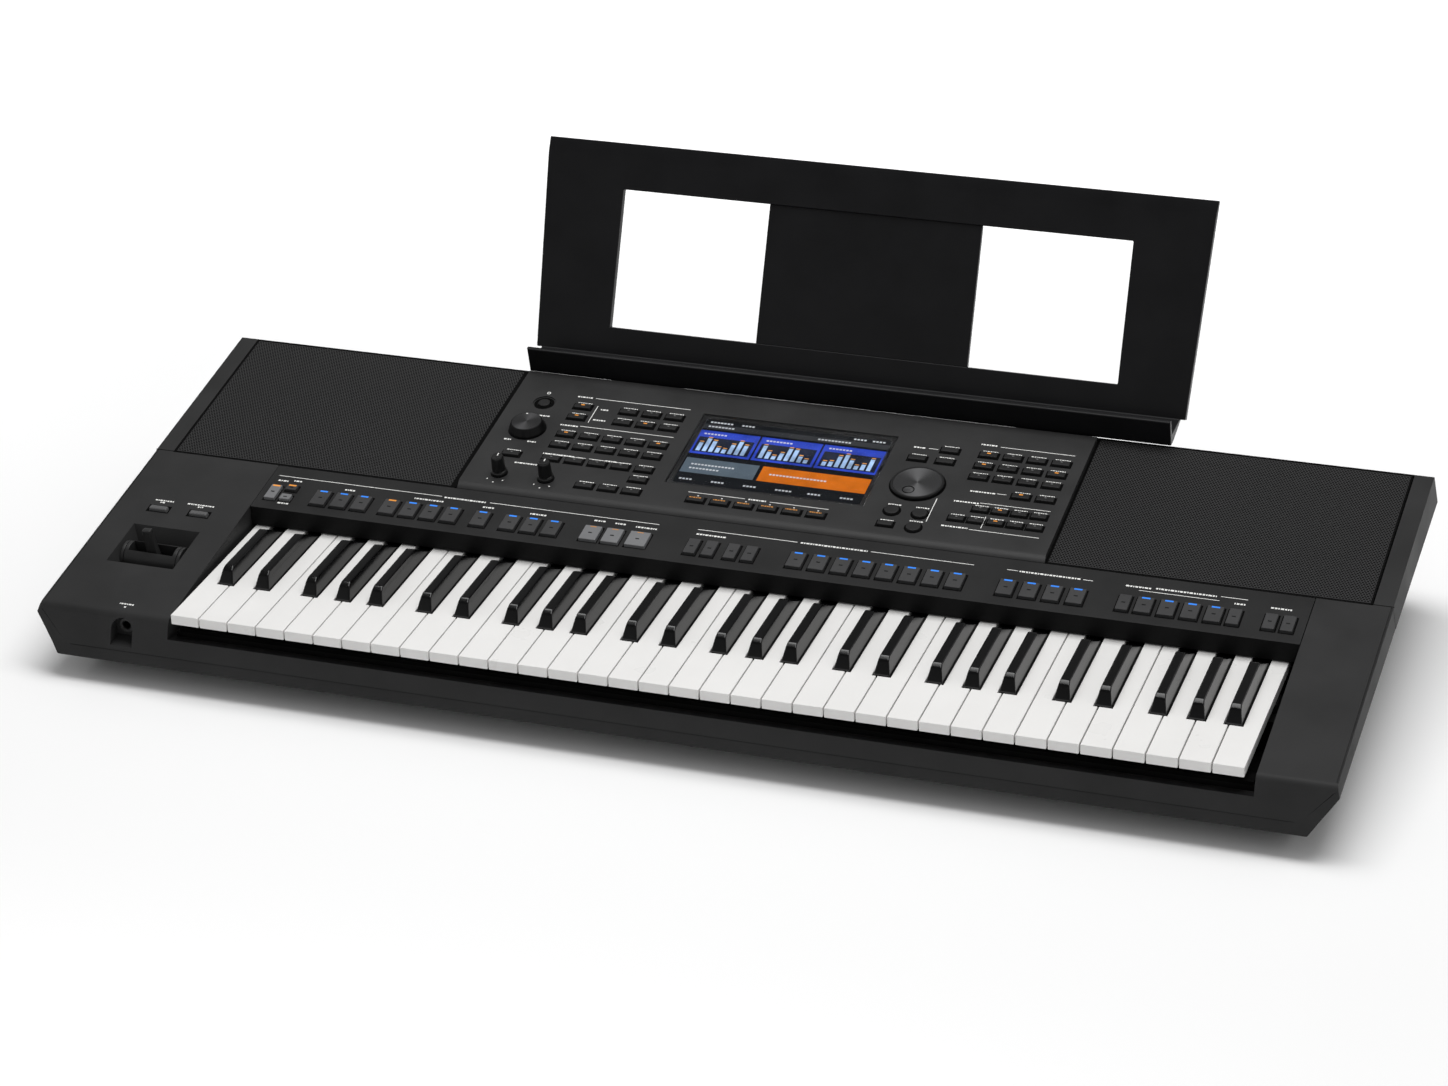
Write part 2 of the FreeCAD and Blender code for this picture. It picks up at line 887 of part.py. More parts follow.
def voice_group(column, count, place):
    first = voice_column + column * (panel_button[0] + memory_space)
    return right_group(first, count, place, panel_button, memory_space)


strip_rows = {
    "accompaniment_buttons": [(over_key(0.37), strip_row, tall_button),
                              (over_key(0.91), strip_row + pair_high, small_button),
                              (over_key(0.91), strip_row + pair_low, small_button)],
    "style_section_buttons": strip_group(2.11, 3, strip_button, style_space)
    + strip_group(4.6, 4, strip_button, style_space) + strip_group(7.86, 1, strip_button, style_space)
    + strip_group(8.91, 3, strip_button, style_space),
    "start_buttons": strip_group(11.75, 2, start_button, start_space)
    + strip_group(13.39, 1, wide_button, start_space),
    "player_buttons": strip_group(15.26, 2, narrow_button, style_space)
    + strip_group(16.62, 2, narrow_button, style_space),
    "memory_buttons": strip_group(18.8, 8, strip_button, memory_space),
    "setting_buttons": strip_group(25.76, 4, strip_button, memory_space),
    "right_bank_buttons": strip_group(29.56, 1, narrow_button, style_space)
    + strip_group(30.21, 4, strip_button, style_space)
    + strip_group(33.06, 1, narrow_button, style_space) + strip_group(34.19, 2, narrow_button, start_space),
}
outer_x = left_outer_column - half_panel
display_pitch = panel_button[0] + panel_space
display_first = window_x - 2.5 * display_pitch
panel_rows = {
    "function_buttons": row(outer_x, 1, seam_along + row_mid, panel_button, panel_space)
    + left_group(0, 1, row_top) + left_group(0, 1, row_second)
    + left_group(2, 3, row_top) + left_group(2, 3, row_second)
    + left_group(0, 5, row_mid) + left_group(4, 1, row_low) + left_group(2, 3, row_base),
    "style_select_buttons": left_group(0, 5, row_style) + left_group(0, 5, row_style_low),
    "display_buttons": row(display_first, 6, seam_along + row_base, panel_button, panel_space),
    "menu_buttons": right_group(menu_second_column, 1, row_top, panel_button, panel_space)
    + right_group(menu_column, 1, row_second, panel_button, panel_space)
    + right_group(menu_second_column, 1, row_second, panel_button, panel_space)
    + right_group(menu_column, 1, row_base, part_button, panel_space),
    "voice_buttons": voice_group(0, 4, row_top) + voice_group(0, 4, row_second)
    + voice_group(0, 4, row_third) + voice_group(2, 2, row_fourth),
    "part_buttons": right_group(part_column, 4, row_part, part_button, part_space)
    + right_group(part_low_column, 5, row_part_low, part_button, part_space),
}
cheek_row = row(stick_x - (cheek_button[0] + cheek_space) / 2, 2, cheek_row_along, cheek_button, cheek_space)
round_places = [(window_right + menu_column, seam_along + row_part_low),
                (window_right + menu_second_column, seam_along + row_part_low),
                (window_right + menu_second_column, seam_along + row_base)]
power_place = (outer_x, seam_along + row_top)


def button_hole(place, base, thickness):
    x, along, size = place
    half_w = size[0] / 2 + button_gap
    half_l = size[1] / 2 + button_gap
    return deck_box(x - half_w, x + half_w, along - half_l, along + half_l,
                    base - thickness - wall, base + wall)


def push_button(place, base, thickness, rise):
    """Tapered cap that reaches down through its plate."""
    x, along, size = place
    return on_deck(frustum(size[0], size[1], x, along, base - thickness - button_depth, base + rise,
                           button_taper, button_taper))


def button_set(places, base, thickness, rise):
    return group([push_button(place, base, thickness, rise) for place in places])


def round_button(place, radius, rise):
    under = panel_under - button_depth
    return on_deck(rod(V(place[0], place[1], under), V(0, 0, panel_raise + rise - under), radius, knob_sides))


# Button panel behind the keys

strip_board_end = seam_along - strip_board_margin


def button_panel():
    """Strip with a front wall that the keys run under, and the rib of the upper key stop."""
    inner = strip_reach + wall
    wall_low = key_top_z + strip_wall_gap
    outline = [(strip_reach, wall_low), (strip_reach, deck_z(strip_reach)), (seam_reach, deck_z(seam_reach)),
               (seam_reach, deck_z(seam_reach) - wall), (inner, deck_z(inner) - wall), (inner, wall_low)]
    strip = side_prism(outline, bed_left, bed_right)
    rib = side_prism([(inner, upper_felt_z + felt), (inner, deck_z(inner) - wall),
                      (inner + stop_rib_depth, deck_z(inner + stop_rib_depth) - wall),
                      (inner + stop_rib_depth, upper_felt_z + felt)], bed_left + wall, bed_right - wall)
    first = well_left + strip_post_inset
    step = (well_width - 2 * strip_post_inset) / (strip_post_count - 1)
    post_along = strip_board_end - board_post_half
    posts = [deck_post((first + step * i, post_along), board_post_half, -board_drop, -wall / 2)
             for i in range(strip_post_count)]
    strip = fused(strip, [rib] + posts)
    places = [place for rows in strip_rows.values() for place in rows]
    return strip.cut([button_hole(place, 0, wall) for place in places])


def button_board():
    return deck_box(bed_left + wall, bed_right - wall, strip_board_end - strip_board_length, strip_board_end,
                    -board_drop - board, -board_drop)


# Control panel

panel_board_top = panel_raise - panel_board_drop
volume_place = (outer_x, seam_along + volume_row)
live_places = [(outer_x, seam_along + live_row), (live_column - half_panel, seam_along + live_row)]
dial_place = (window_right + dial_column, seam_along + dial_row)


def control_panel():
    """Inverted tray with a bevelled front edge, holes for its controls and a seat for the window."""
    front = seam_along + fit
    outline = [(front, -panel_skirt), (front, 0), (front + panel_bevel, panel_raise),
               (panel_back, panel_raise), (panel_back, -panel_skirt)]
    block = plate([V(-half_panel, along, height) for along, height in outline], V(panel_width, 0, 0))
    hollow = box(wall - half_panel, half_panel - wall, front + panel_bevel, panel_back - wall,
                 -panel_skirt, panel_under)
    tray = on_deck(block.cut(hollow))
    post_xs = (panel_post_inset - half_panel, window_left - panel_post_window_gap,
               window_right - panel_post_window_gap, half_panel - panel_post_inset)
    posts = [deck_post((x, along), board_post_half, panel_board_top, panel_under) for x in post_xs
             for along in (seam_along + panel_post_front, panel_back - panel_post_back)]
    tray = fused(tray, posts)
    top = panel_raise + wall
    cuts = [button_hole(place, panel_raise, panel_plate) for rows in panel_rows.values() for place in rows]
    for place in live_places + [volume_place, dial_place]:
        cuts.append(deck_bore(place, shaft_radius + fit, panel_under - wall, top, hidden_sides))
    for place in round_places:
        cuts.append(deck_bore(place, round_radius + button_gap, panel_under - wall, top, round_sides))
    cuts.append(deck_bore(power_place, power_radius + button_gap, panel_under - wall, top, round_sides))
    cuts.append(deck_bore(power_place, power_ring, panel_raise - power_recess, top, knob_sides))
    cuts.append(window_block(fit, panel_raise - window_recess - window_glass, top))
    cuts.append(window_block(-window_ledge, panel_under - wall, top))
    return tray.cut(cuts)


def window_block(grow, h0, h1):
    half_l = window_length / 2 + grow
    return deck_box(window_left - grow, window_right + grow,
                    window_along - half_l, window_along + half_l, h0, h1)


def display_window():
    top = panel_raise - window_recess
    return window_block(0, top - window_glass, top)


def lcd_module():
    return window_block(0, panel_under - lcd_depth, panel_under)


def panel_board():
    half = half_panel - 2 * wall
    return deck_box(-half, half, seam_along + panel_bevel + 2 * wall, panel_back - 2 * wall,
                    panel_board_top - board, panel_board_top)


# Knobs and what they turn

knob_low = panel_raise + knob_lift


def knob(place, radius, top_radius, height, edge):
    """Turned knob with a bevelled upper edge and a blind bore for its shaft."""
    bore_radius = shaft_radius + 2 * shaft_clearance
    bore_top = height - knob_roof
    body = turned([(bore_radius, 0), (radius, 0), (top_radius, height - edge), (top_radius - edge, height),
                   (0, height), (0, bore_top), (bore_radius, bore_top)], knob_sides)
    body.translate(V(place[0], place[1], knob_low))
    return body


def data_dial():
    """Flat dial with a finger dimple."""
    body = knob(dial_place, dial_radius, dial_radius, dial_height, dial_edge)
    dimple = turned([(0, -dimple_depth), (dimple_radius - dimple_depth, -dimple_depth), (dimple_radius, 0),
                     (dimple_radius, dial_edge), (0, dial_edge)], round_sides)
    dimple.translate(V(dial_place[0] - dimple_side, dial_place[1] - dimple_front, knob_low + dial_height))
    return on_deck(body.cut(dimple))


def control_pot(place, size, height):
    """Potentiometer or encoder: a can under the panel and a shaft through it, into its knob."""
    half = size / 2
    can = box(place[0] - half, place[0] + half, place[1] - half, place[1] + half,
              panel_under - pot_depth, panel_under)
    top = knob_low + height - knob_roof - fit
    shaft = Part.makeCylinder(shaft_radius, top - panel_under, V(place[0], place[1], panel_under))
    return on_deck(can.fuse(shaft))


def control_pots():
    pots = [control_pot(place, live_pot_size, live_height) for place in live_places]
    pots.append(control_pot(volume_place, pot_size, volume_height))
    pots.append(control_pot(dial_place, pot_size, dial_height))
    return group(pots)


# Joystick


def cross_rod(shape, radius, length):
    """Rod or bore along the lever's cross axis."""
    return shape(V(stick_x, stick_along - length / 2, -barrel_drop), V(0, length, 0), radius, hidden_sides)


def joystick_cradle():
    """Barrel on two trunnions, with the slot that the lever swings in."""
    barrel = rod(V(stick_x - barrel_length / 2, stick_along, -barrel_drop), V(barrel_length, 0, 0),
                 barrel_radius, knob_sides)
    span = barrel_length + 2 * (ear_gap + trunnion_ear)
    trunnions = Part.makeCylinder(trunnion_radius, span, V(stick_x - span / 2, stick_along, -barrel_drop),
                                  V(1, 0, 0))
    half_w = barrel_slot_width / 2
    half_l = barrel_slot_length / 2
    slot = box(stick_x - half_w, stick_x + half_w, stick_along - half_l, stick_along + half_l,
               -barrel_drop - lever_hub - 2 * fit, barrel_radius)
    pin_seat = cross_rod(bore, lever_pin + shaft_clearance, lever_pin_length + 2 * fit)
    return on_deck(fused(barrel, [trunnions]).cut([slot, pin_seat]))


def joystick_lever():
    """Tapered lever on a cross pin, standing with the lean that it has at rest."""
    hub = cross_rod(rod, lever_hub, barrel_slot_length - 2 * fit)
    pin = Part.makeCylinder(lever_pin, lever_pin_length,
                            V(stick_x, stick_along - lever_pin_length / 2, -barrel_drop), V(0, 1, 0))
    stem = frustum(lever_width, lever_depth, stick_x, stick_along, -barrel_drop,
                   lever_length - barrel_drop, lever_taper, lever_taper)
    lever = fused(hub, [pin, stem])
    lever.rotate(V(stick_x, stick_along, -barrel_drop), V(0, 1, 0), -lever_lean)
    return on_deck(lever)


# Speakers and grilles


def speaker_places():
    """(x, along, radius) of the wide and the small unit on each side."""
    woofer_x = (half_panel + grille_outer) / 2
    woofer_along = (seam_along + grille_back) / 2
    places = []
    for side in (-1, 1):
        places.append((side * woofer_x, woofer_along, woofer_radius))
        places.append((side * (half_panel + tweeter_inset), seam_along + tweeter_front, tweeter_radius))
    return places


def speaker_grille(side):
    """Pressed pan: a flat face with a folded skirt that stands on the baffle."""
    edges = sorted((side * (half_panel + grille_gap), side * grille_outer))
    front = seam_along + grille_gap
    pan = box(edges[0], edges[1], front, grille_back, -panel_skirt, 0)
    pan = pan.makeChamfer(grille_corner, [e for e in pan.Edges if e.BoundBox.ZLength > panel_skirt / 2])
    hollow = box(edges[0] + grille_sheet, edges[1] - grille_sheet, front + grille_sheet,
                 grille_back - grille_sheet, -panel_skirt, -grille_sheet)
    return on_deck(pan.cut(hollow))


def speaker_units(points_of):
    """The same ring of each speaker, under its baffle hole."""
    solids = []
    for x, along, radius in speaker_places():
        solid = turned(points_of(radius), hidden_sides)
        solid.translate(V(x, along, -panel_skirt - baffle_plate))
        solids.append(on_deck(solid))
    return group(solids)


def basket_points(radius):
    deep = basket_depth_share * radius
    back = basket_back_share * radius
    return [(radius - basket_lip, 0), (radius + basket_rim, 0), (radius + basket_rim, -basket_sheet),
            (back, -deep), (0, -deep), (0, basket_sheet - deep), (back - basket_sheet, basket_sheet - deep)]


def cone_points(radius):
    deep = basket_depth_share * radius
    rim = radius - basket_lip - fit
    return [(rim, -fit), (rim - basket_sheet, -fit), (0, 2 * basket_sheet - deep), (0, basket_sheet - deep)]


def magnet_points(radius):
    deep = basket_depth_share * radius
    back = basket_back_share * radius
    low = magnet_depth_share * radius
    return [(0, -deep), (back, -deep), (back, -low), (0, -low)]


# Sockets

rear_jack_xs = [rear_jack_start + rear_jack_pitch * i for i in range(rear_jack_count)]
usb_xs = [rear_jack_start - rear_jack_pitch * (i + 1) for i in range(usb_count)]


def usb_block(x, grow, r0, r1):
    half_w = usb_width / 2 + grow
    half_h = usb_height / 2 + grow
    return reach_box(x - half_w, x + half_w, r0, r1, rear_jack_z - half_h, rear_jack_z + half_h)


def phones_jack():
    body = level(rod, phones_x, phones_cup_depth, phones_z, jack_radius, jack_length)
    return body.cut(plug_bore(phones_x, phones_cup_depth, phones_z, jack_bore / 2, jack_length - wall))


def rear_openings():
    inside = back_reach - 2 * wall
    cuts = [plug_bore(x, inside, rear_jack_z, jack_radius + fit / 2, 4 * wall) for x in rear_jack_xs]
    cuts.append(level(bore, inlet_x, inside, rear_jack_z, jack_radius + fit / 2, 4 * wall))
    return cuts + [usb_block(x, fit, inside, behind_case) for x in usb_xs]


def rear_sockets():
    """Jack sockets, data sockets and the power inlet, their mouths flush with the back wall."""
    start = back_reach - jack_length
    deep = jack_length - wall
    sockets = []
    for x in rear_jack_xs:
        body = level(rod, x, start, rear_jack_z, jack_radius, jack_length)
        sockets.append(body.cut(plug_bore(x, start + wall, rear_jack_z, jack_bore / 2, deep)))
    for x in usb_xs:
        body = usb_block(x, 0, start, back_reach)
        sockets.append(body.cut(usb_block(x, -socket_sheet, start + wall, back_reach)))
    can = level(rod, inlet_x, start, rear_jack_z, jack_radius, jack_length)
    can = can.cut(level(bore, inlet_x, start + wall, rear_jack_z, inlet_bore / 2, deep))
    sockets.append(can.fuse(level(rod, inlet_x, start + wall, rear_jack_z, inlet_pin, deep - wall)))
    return group(sockets)


# Feet and screws

foot_side = half_floor - foot_side_inset
foot_places = [(x, reach) for x in (-foot_side, 0, foot_side)
               for reach in (base_front + foot_end_inset, base_back - foot_end_inset)]
screw_side = half_floor - screw_side_inset
screw_places = [(x, reach) for x in (-screw_side, 0, screw_side)
                for reach in (base_front + screw_front_inset, base_back - screw_back_inset)]


def rubber_feet():
    return group([rod(V(x, at(reach), 0), V(0, 0, foot_height), foot_radius, round_sides)
                  for x, reach in foot_places])


def case_screws():
    """Heads of the screws that close the case."""
    return group([rod(V(x, at(reach), foot_height - screw_head), V(0, 0, screw_head),
                      screw_head_radius, hidden_sides) for x, reach in screw_places])


# Music rest


def on_rest(shape):
    """Leans a shape drawn as (x, depth, height) from the foot of the rest's front face."""
    shape.rotate(V(0, 0, 0), V(1, 0, 0), -rest_lean)
    shape.translate(V(rest_x, at(rest_foot_reach), rest_foot_z))
    return shape


def rest_frame():
    """Plate that widens upwards, with a bevelled head and one wide window."""
    low = rest_half_low
    high = rest_half_high
    frame = plate([V(-low, 0, 0), V(low, 0, 0), V(high, 0, rest_height), V(-high, 0, rest_height)],
                  V(0, rest_sheet, 0))
    bevel = plate([V(-high, 0, rest_height - rest_bevel), V(-high, 0, rest_height),
                   V(-high, rest_bevel_depth, rest_height)], V(2 * high, 0, 0))
    window = box(rest_window_offset - rest_window_half, rest_window_offset + rest_window_half,
                 -wall, rest_sheet + wall, rest_window_low, rest_window_high)
    return on_rest(frame.cut([bevel, window]))


def music_rest():
    """Framed plate, the tray at its foot and the two legs that plug into the rear sockets."""
    lip_reach = deck_back + lip_foot_setback
    lip_top_reach = deck_back - lip_overhang
    lip_foot_z = deck_back_z + lip_foot_rise
    lip_top_z = deck_back_z + lip_height
    tray = [(lip_reach, lip_foot_z), (lip_top_reach, lip_top_z),
            (lip_top_reach + lip_sheet, lip_top_z + lip_crown),
            (lip_reach + lip_sheet, rest_foot_z - tray_fall), (rest_foot_reach, rest_foot_z),
            (rest_foot_reach + rest_sheet * math.cos(lean), rest_foot_z - rest_sheet * math.sin(lean)),
            (lip_reach + tray_keel, lip_foot_z)]
    channel = side_prism(tray, rest_x - lip_half, rest_x + lip_half)
    legs = []
    for side in (-1, 1):
        x = rest_x + side * leg_x
        legs.append(reach_box(x - leg_width / 2, x + leg_width / 2, leg_reach - leg_sheet / 2,
                              leg_reach + leg_sheet / 2, socket_low_z + fit, rest_foot_z - leg_root))
    return fused(rest_frame(), [channel] + legs)


def music_rest_panel():
    """Centre panel, set a little behind the face of the frame."""
    return on_rest(box(rest_centre_offset - rest_centre_half, rest_centre_offset + rest_centre_half,
                       rest_centre_recess, rest_centre_recess + rest_centre_sheet,
                       rest_window_low, rest_window_high))


# Every node of the assembly

parts = {
    "upper_case": upper_case(),
    "bottom_case": bottom_case(),
    "rear_case": rear_case(),
    "button_panel": button_panel(),
    "control_panel": control_panel(),
    "left_speaker_grille": speaker_grille(-1),
    "right_speaker_grille": speaker_grille(1),
    "display_window": display_window(),
    "lcd_module": lcd_module(),
    "key_chassis": key_chassis(),
    "key_pivot_rod": key_pivot_rod(),
    "key_stop_felts": key_stop_felts(),
    "key_contact_board": key_contact_board(),
    "contact_rubbers": contact_rubbers(),
    "speaker_baskets": speaker_units(basket_points),
    "speaker_cones": speaker_units(cone_points),
    "speaker_magnets": speaker_units(magnet_points),
    "main_board": main_board(),
    "button_board": button_board(),
    "panel_board": panel_board(),
    "control_pots": control_pots(),
    "rear_sockets": rear_sockets(),
    "phones_jack": phones_jack(),
    "rubber_feet": rubber_feet(),
    "case_screws": case_screws(),
    "power_button": round_button(power_place, power_radius, power_button_rise),
    "volume_knob": on_deck(knob(volume_place, volume_radius, volume_top_radius, volume_height, knob_edge)),
    "left_live_knob": on_deck(knob(live_places[0], live_radius, live_top_radius, live_height, knob_edge)),
    "right_live_knob": on_deck(knob(live_places[1], live_radius, live_top_radius, live_height, knob_edge)),
    "data_dial": data_dial(),
    "joystick_cradle": joystick_cradle(),
    "joystick_lever": joystick_lever(),
    "joystick_buttons": button_set(cheek_row, 0, wall, panel_button_rise),
    "music_rest": music_rest(),
    "music_rest_panel": music_rest_panel(),
}
for index, name in enumerate(("c", "d", "e", "f", "g", "a", "b")):
    parts["key_" + name] = key_set(white_key(index))
    if index in black_after:
        parts["key_" + name + "_sharp"] = key_set(black_key(index))
for name, places in strip_rows.items():
    parts[name] = button_set(places, 0, wall, strip_button_rise)
for name, places in panel_rows.items():
    parts[name] = button_set(places, panel_raise, panel_plate, panel_button_rise)
rounds = [round_button(place, round_radius, panel_button_rise) for place in round_places]
parts["menu_buttons"] = group(parts["menu_buttons"].Solids + rounds)

os.makedirs("parts", exist_ok=True)
for name, shape in parts.items():
    shape.exportStep("parts/" + name + ".step")
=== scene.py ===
import json
import math
from collections import namedtuple

import bmesh
import bpy
from mathutils import Euler, Matrix, Vector


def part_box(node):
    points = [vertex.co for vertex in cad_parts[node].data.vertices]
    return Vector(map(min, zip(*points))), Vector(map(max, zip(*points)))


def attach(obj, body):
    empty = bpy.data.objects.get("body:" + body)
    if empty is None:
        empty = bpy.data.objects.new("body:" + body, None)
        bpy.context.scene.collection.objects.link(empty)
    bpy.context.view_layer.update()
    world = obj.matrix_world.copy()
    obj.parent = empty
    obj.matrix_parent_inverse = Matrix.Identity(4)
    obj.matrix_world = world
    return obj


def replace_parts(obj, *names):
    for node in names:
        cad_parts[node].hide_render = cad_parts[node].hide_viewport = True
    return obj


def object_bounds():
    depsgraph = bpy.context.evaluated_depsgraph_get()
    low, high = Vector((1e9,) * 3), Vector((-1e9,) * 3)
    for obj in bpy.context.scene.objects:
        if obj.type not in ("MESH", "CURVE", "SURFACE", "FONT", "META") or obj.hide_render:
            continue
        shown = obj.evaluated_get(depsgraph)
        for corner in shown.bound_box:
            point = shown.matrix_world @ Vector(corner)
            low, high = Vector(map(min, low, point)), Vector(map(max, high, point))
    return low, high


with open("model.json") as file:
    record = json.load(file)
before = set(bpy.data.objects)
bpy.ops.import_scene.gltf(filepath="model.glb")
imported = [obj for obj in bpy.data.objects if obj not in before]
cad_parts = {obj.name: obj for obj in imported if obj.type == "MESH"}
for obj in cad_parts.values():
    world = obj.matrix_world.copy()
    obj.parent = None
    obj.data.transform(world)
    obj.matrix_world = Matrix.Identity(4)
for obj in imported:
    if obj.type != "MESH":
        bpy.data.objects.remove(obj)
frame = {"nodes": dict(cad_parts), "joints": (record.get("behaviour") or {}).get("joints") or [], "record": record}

cad_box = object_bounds()
MM = 0.001
body_of = {node: body for body, nodes in frame["record"]["behaviour"]["bodies"].items() for node in nodes}

# The deck is the sloped top: places on it are (x, along from the key fronts, up), in metres
press = next(joint["axis"] for joint in frame["joints"] if joint["name"] == "memory_buttons_press")
slope = math.atan2(press[1], -press[2])
key_low, key_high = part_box("key_c")
key_stand = 6 * MM
deck = Matrix.Translation((0, key_low.y, key_high.z - key_stand)) @ Matrix.Rotation(slope, 4, "X")
to_deck = deck.inverted()


def deck_box(node):
    """The lowest and highest corner of a node, measured along the deck."""
    places = [to_deck @ vert.co for vert in frame["nodes"][node].data.vertices]
    low = Vector([min(place[axis] for place in places) for axis in range(3)])
    high = Vector([max(place[axis] for place in places) for axis in range(3)])
    return low, high


panel_top = deck_box("control_panel")[1].z
strip_low, strip_high = deck_box("button_panel")
strip_top = strip_high.z
print_thick = 0.08 * MM


# Finishes
def link(tree, source, target):
    tree.links.new(source, target)


def sum_node(tree, operation, first, second):
    """One step of arithmetic on a value: each side is a socket or a plain number."""
    step = tree.nodes.new("ShaderNodeMath")
    step.operation = operation
    for side, value in enumerate((first, second)):
        if isinstance(value, (int, float)):
            step.inputs[side].default_value = value
        else:
            link(tree, value, step.inputs[side])
    return step.outputs["Value"]


def socket_group(name, inputs, outputs):
    """An empty node group with its named sockets, and the sockets inside it."""
    group = bpy.data.node_groups.new(name, "ShaderNodeTree")
    for word in inputs:
        kind = "NodeSocketVector" if word == "Vector" else "NodeSocketFloat"
        group.interface.new_socket(word, in_out="INPUT", socket_type=kind)
    for word in outputs:
        group.interface.new_socket(word, in_out="OUTPUT", socket_type="NodeSocketFloat")
    return group, group.nodes.new("NodeGroupInput").outputs, group.nodes.new("NodeGroupOutput").inputs


def grain_group():
    """Moulded grain: a fine height for the bump, and a slow cloud for tone and gloss."""
    group, given, result = socket_group("moulded_grain", ("Vector", "Grain", "Cloud"), ("Height", "Tone"))
    fine = group.nodes.new("ShaderNodeTexNoise")
    fine.inputs["Detail"].default_value = 2.0
    slow = group.nodes.new("ShaderNodeTexNoise")
    slow.inputs["Detail"].default_value = 4.0
    widen = group.nodes.new("ShaderNodeMapRange")
    widen.inputs["From Min"].default_value = 0.3
    widen.inputs["From Max"].default_value = 0.7
    link(group, given["Vector"], fine.inputs["Vector"])
    link(group, given["Vector"], slow.inputs["Vector"])
    link(group, given["Grain"], fine.inputs["Scale"])
    link(group, given["Cloud"], slow.inputs["Scale"])
    link(group, slow.outputs["Fac"], widen.inputs["Value"])
    link(group, fine.outputs["Fac"], result["Height"])
    link(group, widen.outputs["Result"], result["Tone"])
    return group


def punched_group():
    """Rows of round holes, every other row set over by half a pitch: Sheet is 0 inside a hole."""
    row_share = 0.87
    hole_start = 0.33
    hole_end = 0.42
    group, given, result = socket_group("punched_sheet", ("Vector", "Pitch"), ("Sheet",))
    split = group.nodes.new("ShaderNodeSeparateXYZ")
    link(group, given["Vector"], split.inputs["Vector"])
    across = sum_node(group, "DIVIDE", split.outputs["X"], given["Pitch"])
    row_gap = sum_node(group, "MULTIPLY", given["Pitch"], row_share)
    along = sum_node(group, "DIVIDE", split.outputs["Y"], row_gap)
    row = sum_node(group, "FLOOR", along, 0.0)
    moved = sum_node(group, "ADD", across, sum_node(group, "MULTIPLY", row, 0.5))
    u = sum_node(group, "SUBTRACT", sum_node(group, "FRACT", moved, 0.0), 0.5)
    v = sum_node(group, "SUBTRACT", sum_node(group, "FRACT", along, 0.0), 0.5)
    square = sum_node(group, "ADD", sum_node(group, "MULTIPLY", u, u), sum_node(group, "MULTIPLY", v, v))
    rim = group.nodes.new("ShaderNodeMapRange")
    rim.interpolation_type = "SMOOTHSTEP"
    rim.inputs["From Min"].default_value = hole_start
    rim.inputs["From Max"].default_value = hole_end
    link(group, sum_node(group, "SQRT", square, 0.0), rim.inputs["Value"])
    link(group, rim.outputs["Result"], result["Sheet"])
    return group


moulded_grain = grain_group()


def started(name):
    """A new material, its tree and its surface shader."""
    finish = bpy.data.materials.new(name)
    finish.use_nodes = True
    tree = finish.node_tree
    return finish, tree, tree.nodes["Principled BSDF"]


def grained(tree, grain, cloud):
    """The moulded grain laid on the piece's own coordinates."""
    place = tree.nodes.new("ShaderNodeTexCoord")
    pattern = tree.nodes.new("ShaderNodeGroup")
    pattern.node_tree = moulded_grain
    pattern.inputs["Grain"].default_value = grain
    pattern.inputs["Cloud"].default_value = cloud
    link(tree, place.outputs["Object"], pattern.inputs["Vector"])
    return pattern.outputs


def shaded(colour, share):
    return [level * share for level in colour]


def blended(tree, factor, first, second):
    """A colour between two, by a factor."""
    tint = tree.nodes.new("ShaderNodeMix")
    tint.data_type = "RGBA"
    tint.inputs["A"].default_value = list(first) + [1]
    tint.inputs["B"].default_value = list(second) + [1]
    link(tree, factor, tint.inputs["Factor"])
    return tint.outputs["Result"]


def ranged(tree, factor, low, high):
    """A value between two, by a factor."""
    span = tree.nodes.new("ShaderNodeMapRange")
    span.inputs["To Min"].default_value = low
    span.inputs["To Max"].default_value = high
    link(tree, factor, span.inputs["Value"])
    return span.outputs["Result"]


def relief(tree, shader, height, strength, depth):
    """Bump from a height."""
    bump = tree.nodes.new("ShaderNodeBump")
    bump.inputs["Strength"].default_value = strength
    bump.inputs["Distance"].default_value = depth
    link(tree, height, bump.inputs["Height"])
    link(tree, bump.outputs["Normal"], shader.inputs["Normal"])


def moulded(name, colour, rough, grain=1800, bump=0.05, gloss=0.25, metal=0.0, vary=0.12, cloud=25):
    """A moulded finish: colour and gloss drift slowly, and a fine grain breaks the light."""
    finish, tree, shader = started(name)
    pattern = grained(tree, grain, cloud)
    link(tree, blended(tree, pattern["Tone"], shaded(colour, 1 - vary), shaded(colour, 1 + vary)),
         shader.inputs["Base Color"])
    link(tree, ranged(tree, pattern["Tone"], rough * 0.9, rough * 1.1), shader.inputs["Roughness"])
    relief(tree, shader, pattern["Height"], bump, 0.2 * MM)
    shader.inputs["Specular IOR Level"].default_value = gloss
    shader.inputs["Metallic"].default_value = metal
    return finish


def laid(tree, centre):
    """Coordinates that lie flat on the deck about a centre."""
    place = tree.nodes.new("ShaderNodeTexCoord")
    lay = tree.nodes.new("ShaderNodeMapping")
    lay.vector_type = "TEXTURE"
    lay.inputs["Location"].default_value = deck @ centre
    lay.inputs["Rotation"].default_value = (slope, 0, 0)
    link(tree, place.outputs["Object"], lay.inputs["Vector"])
    return lay.outputs["Vector"]


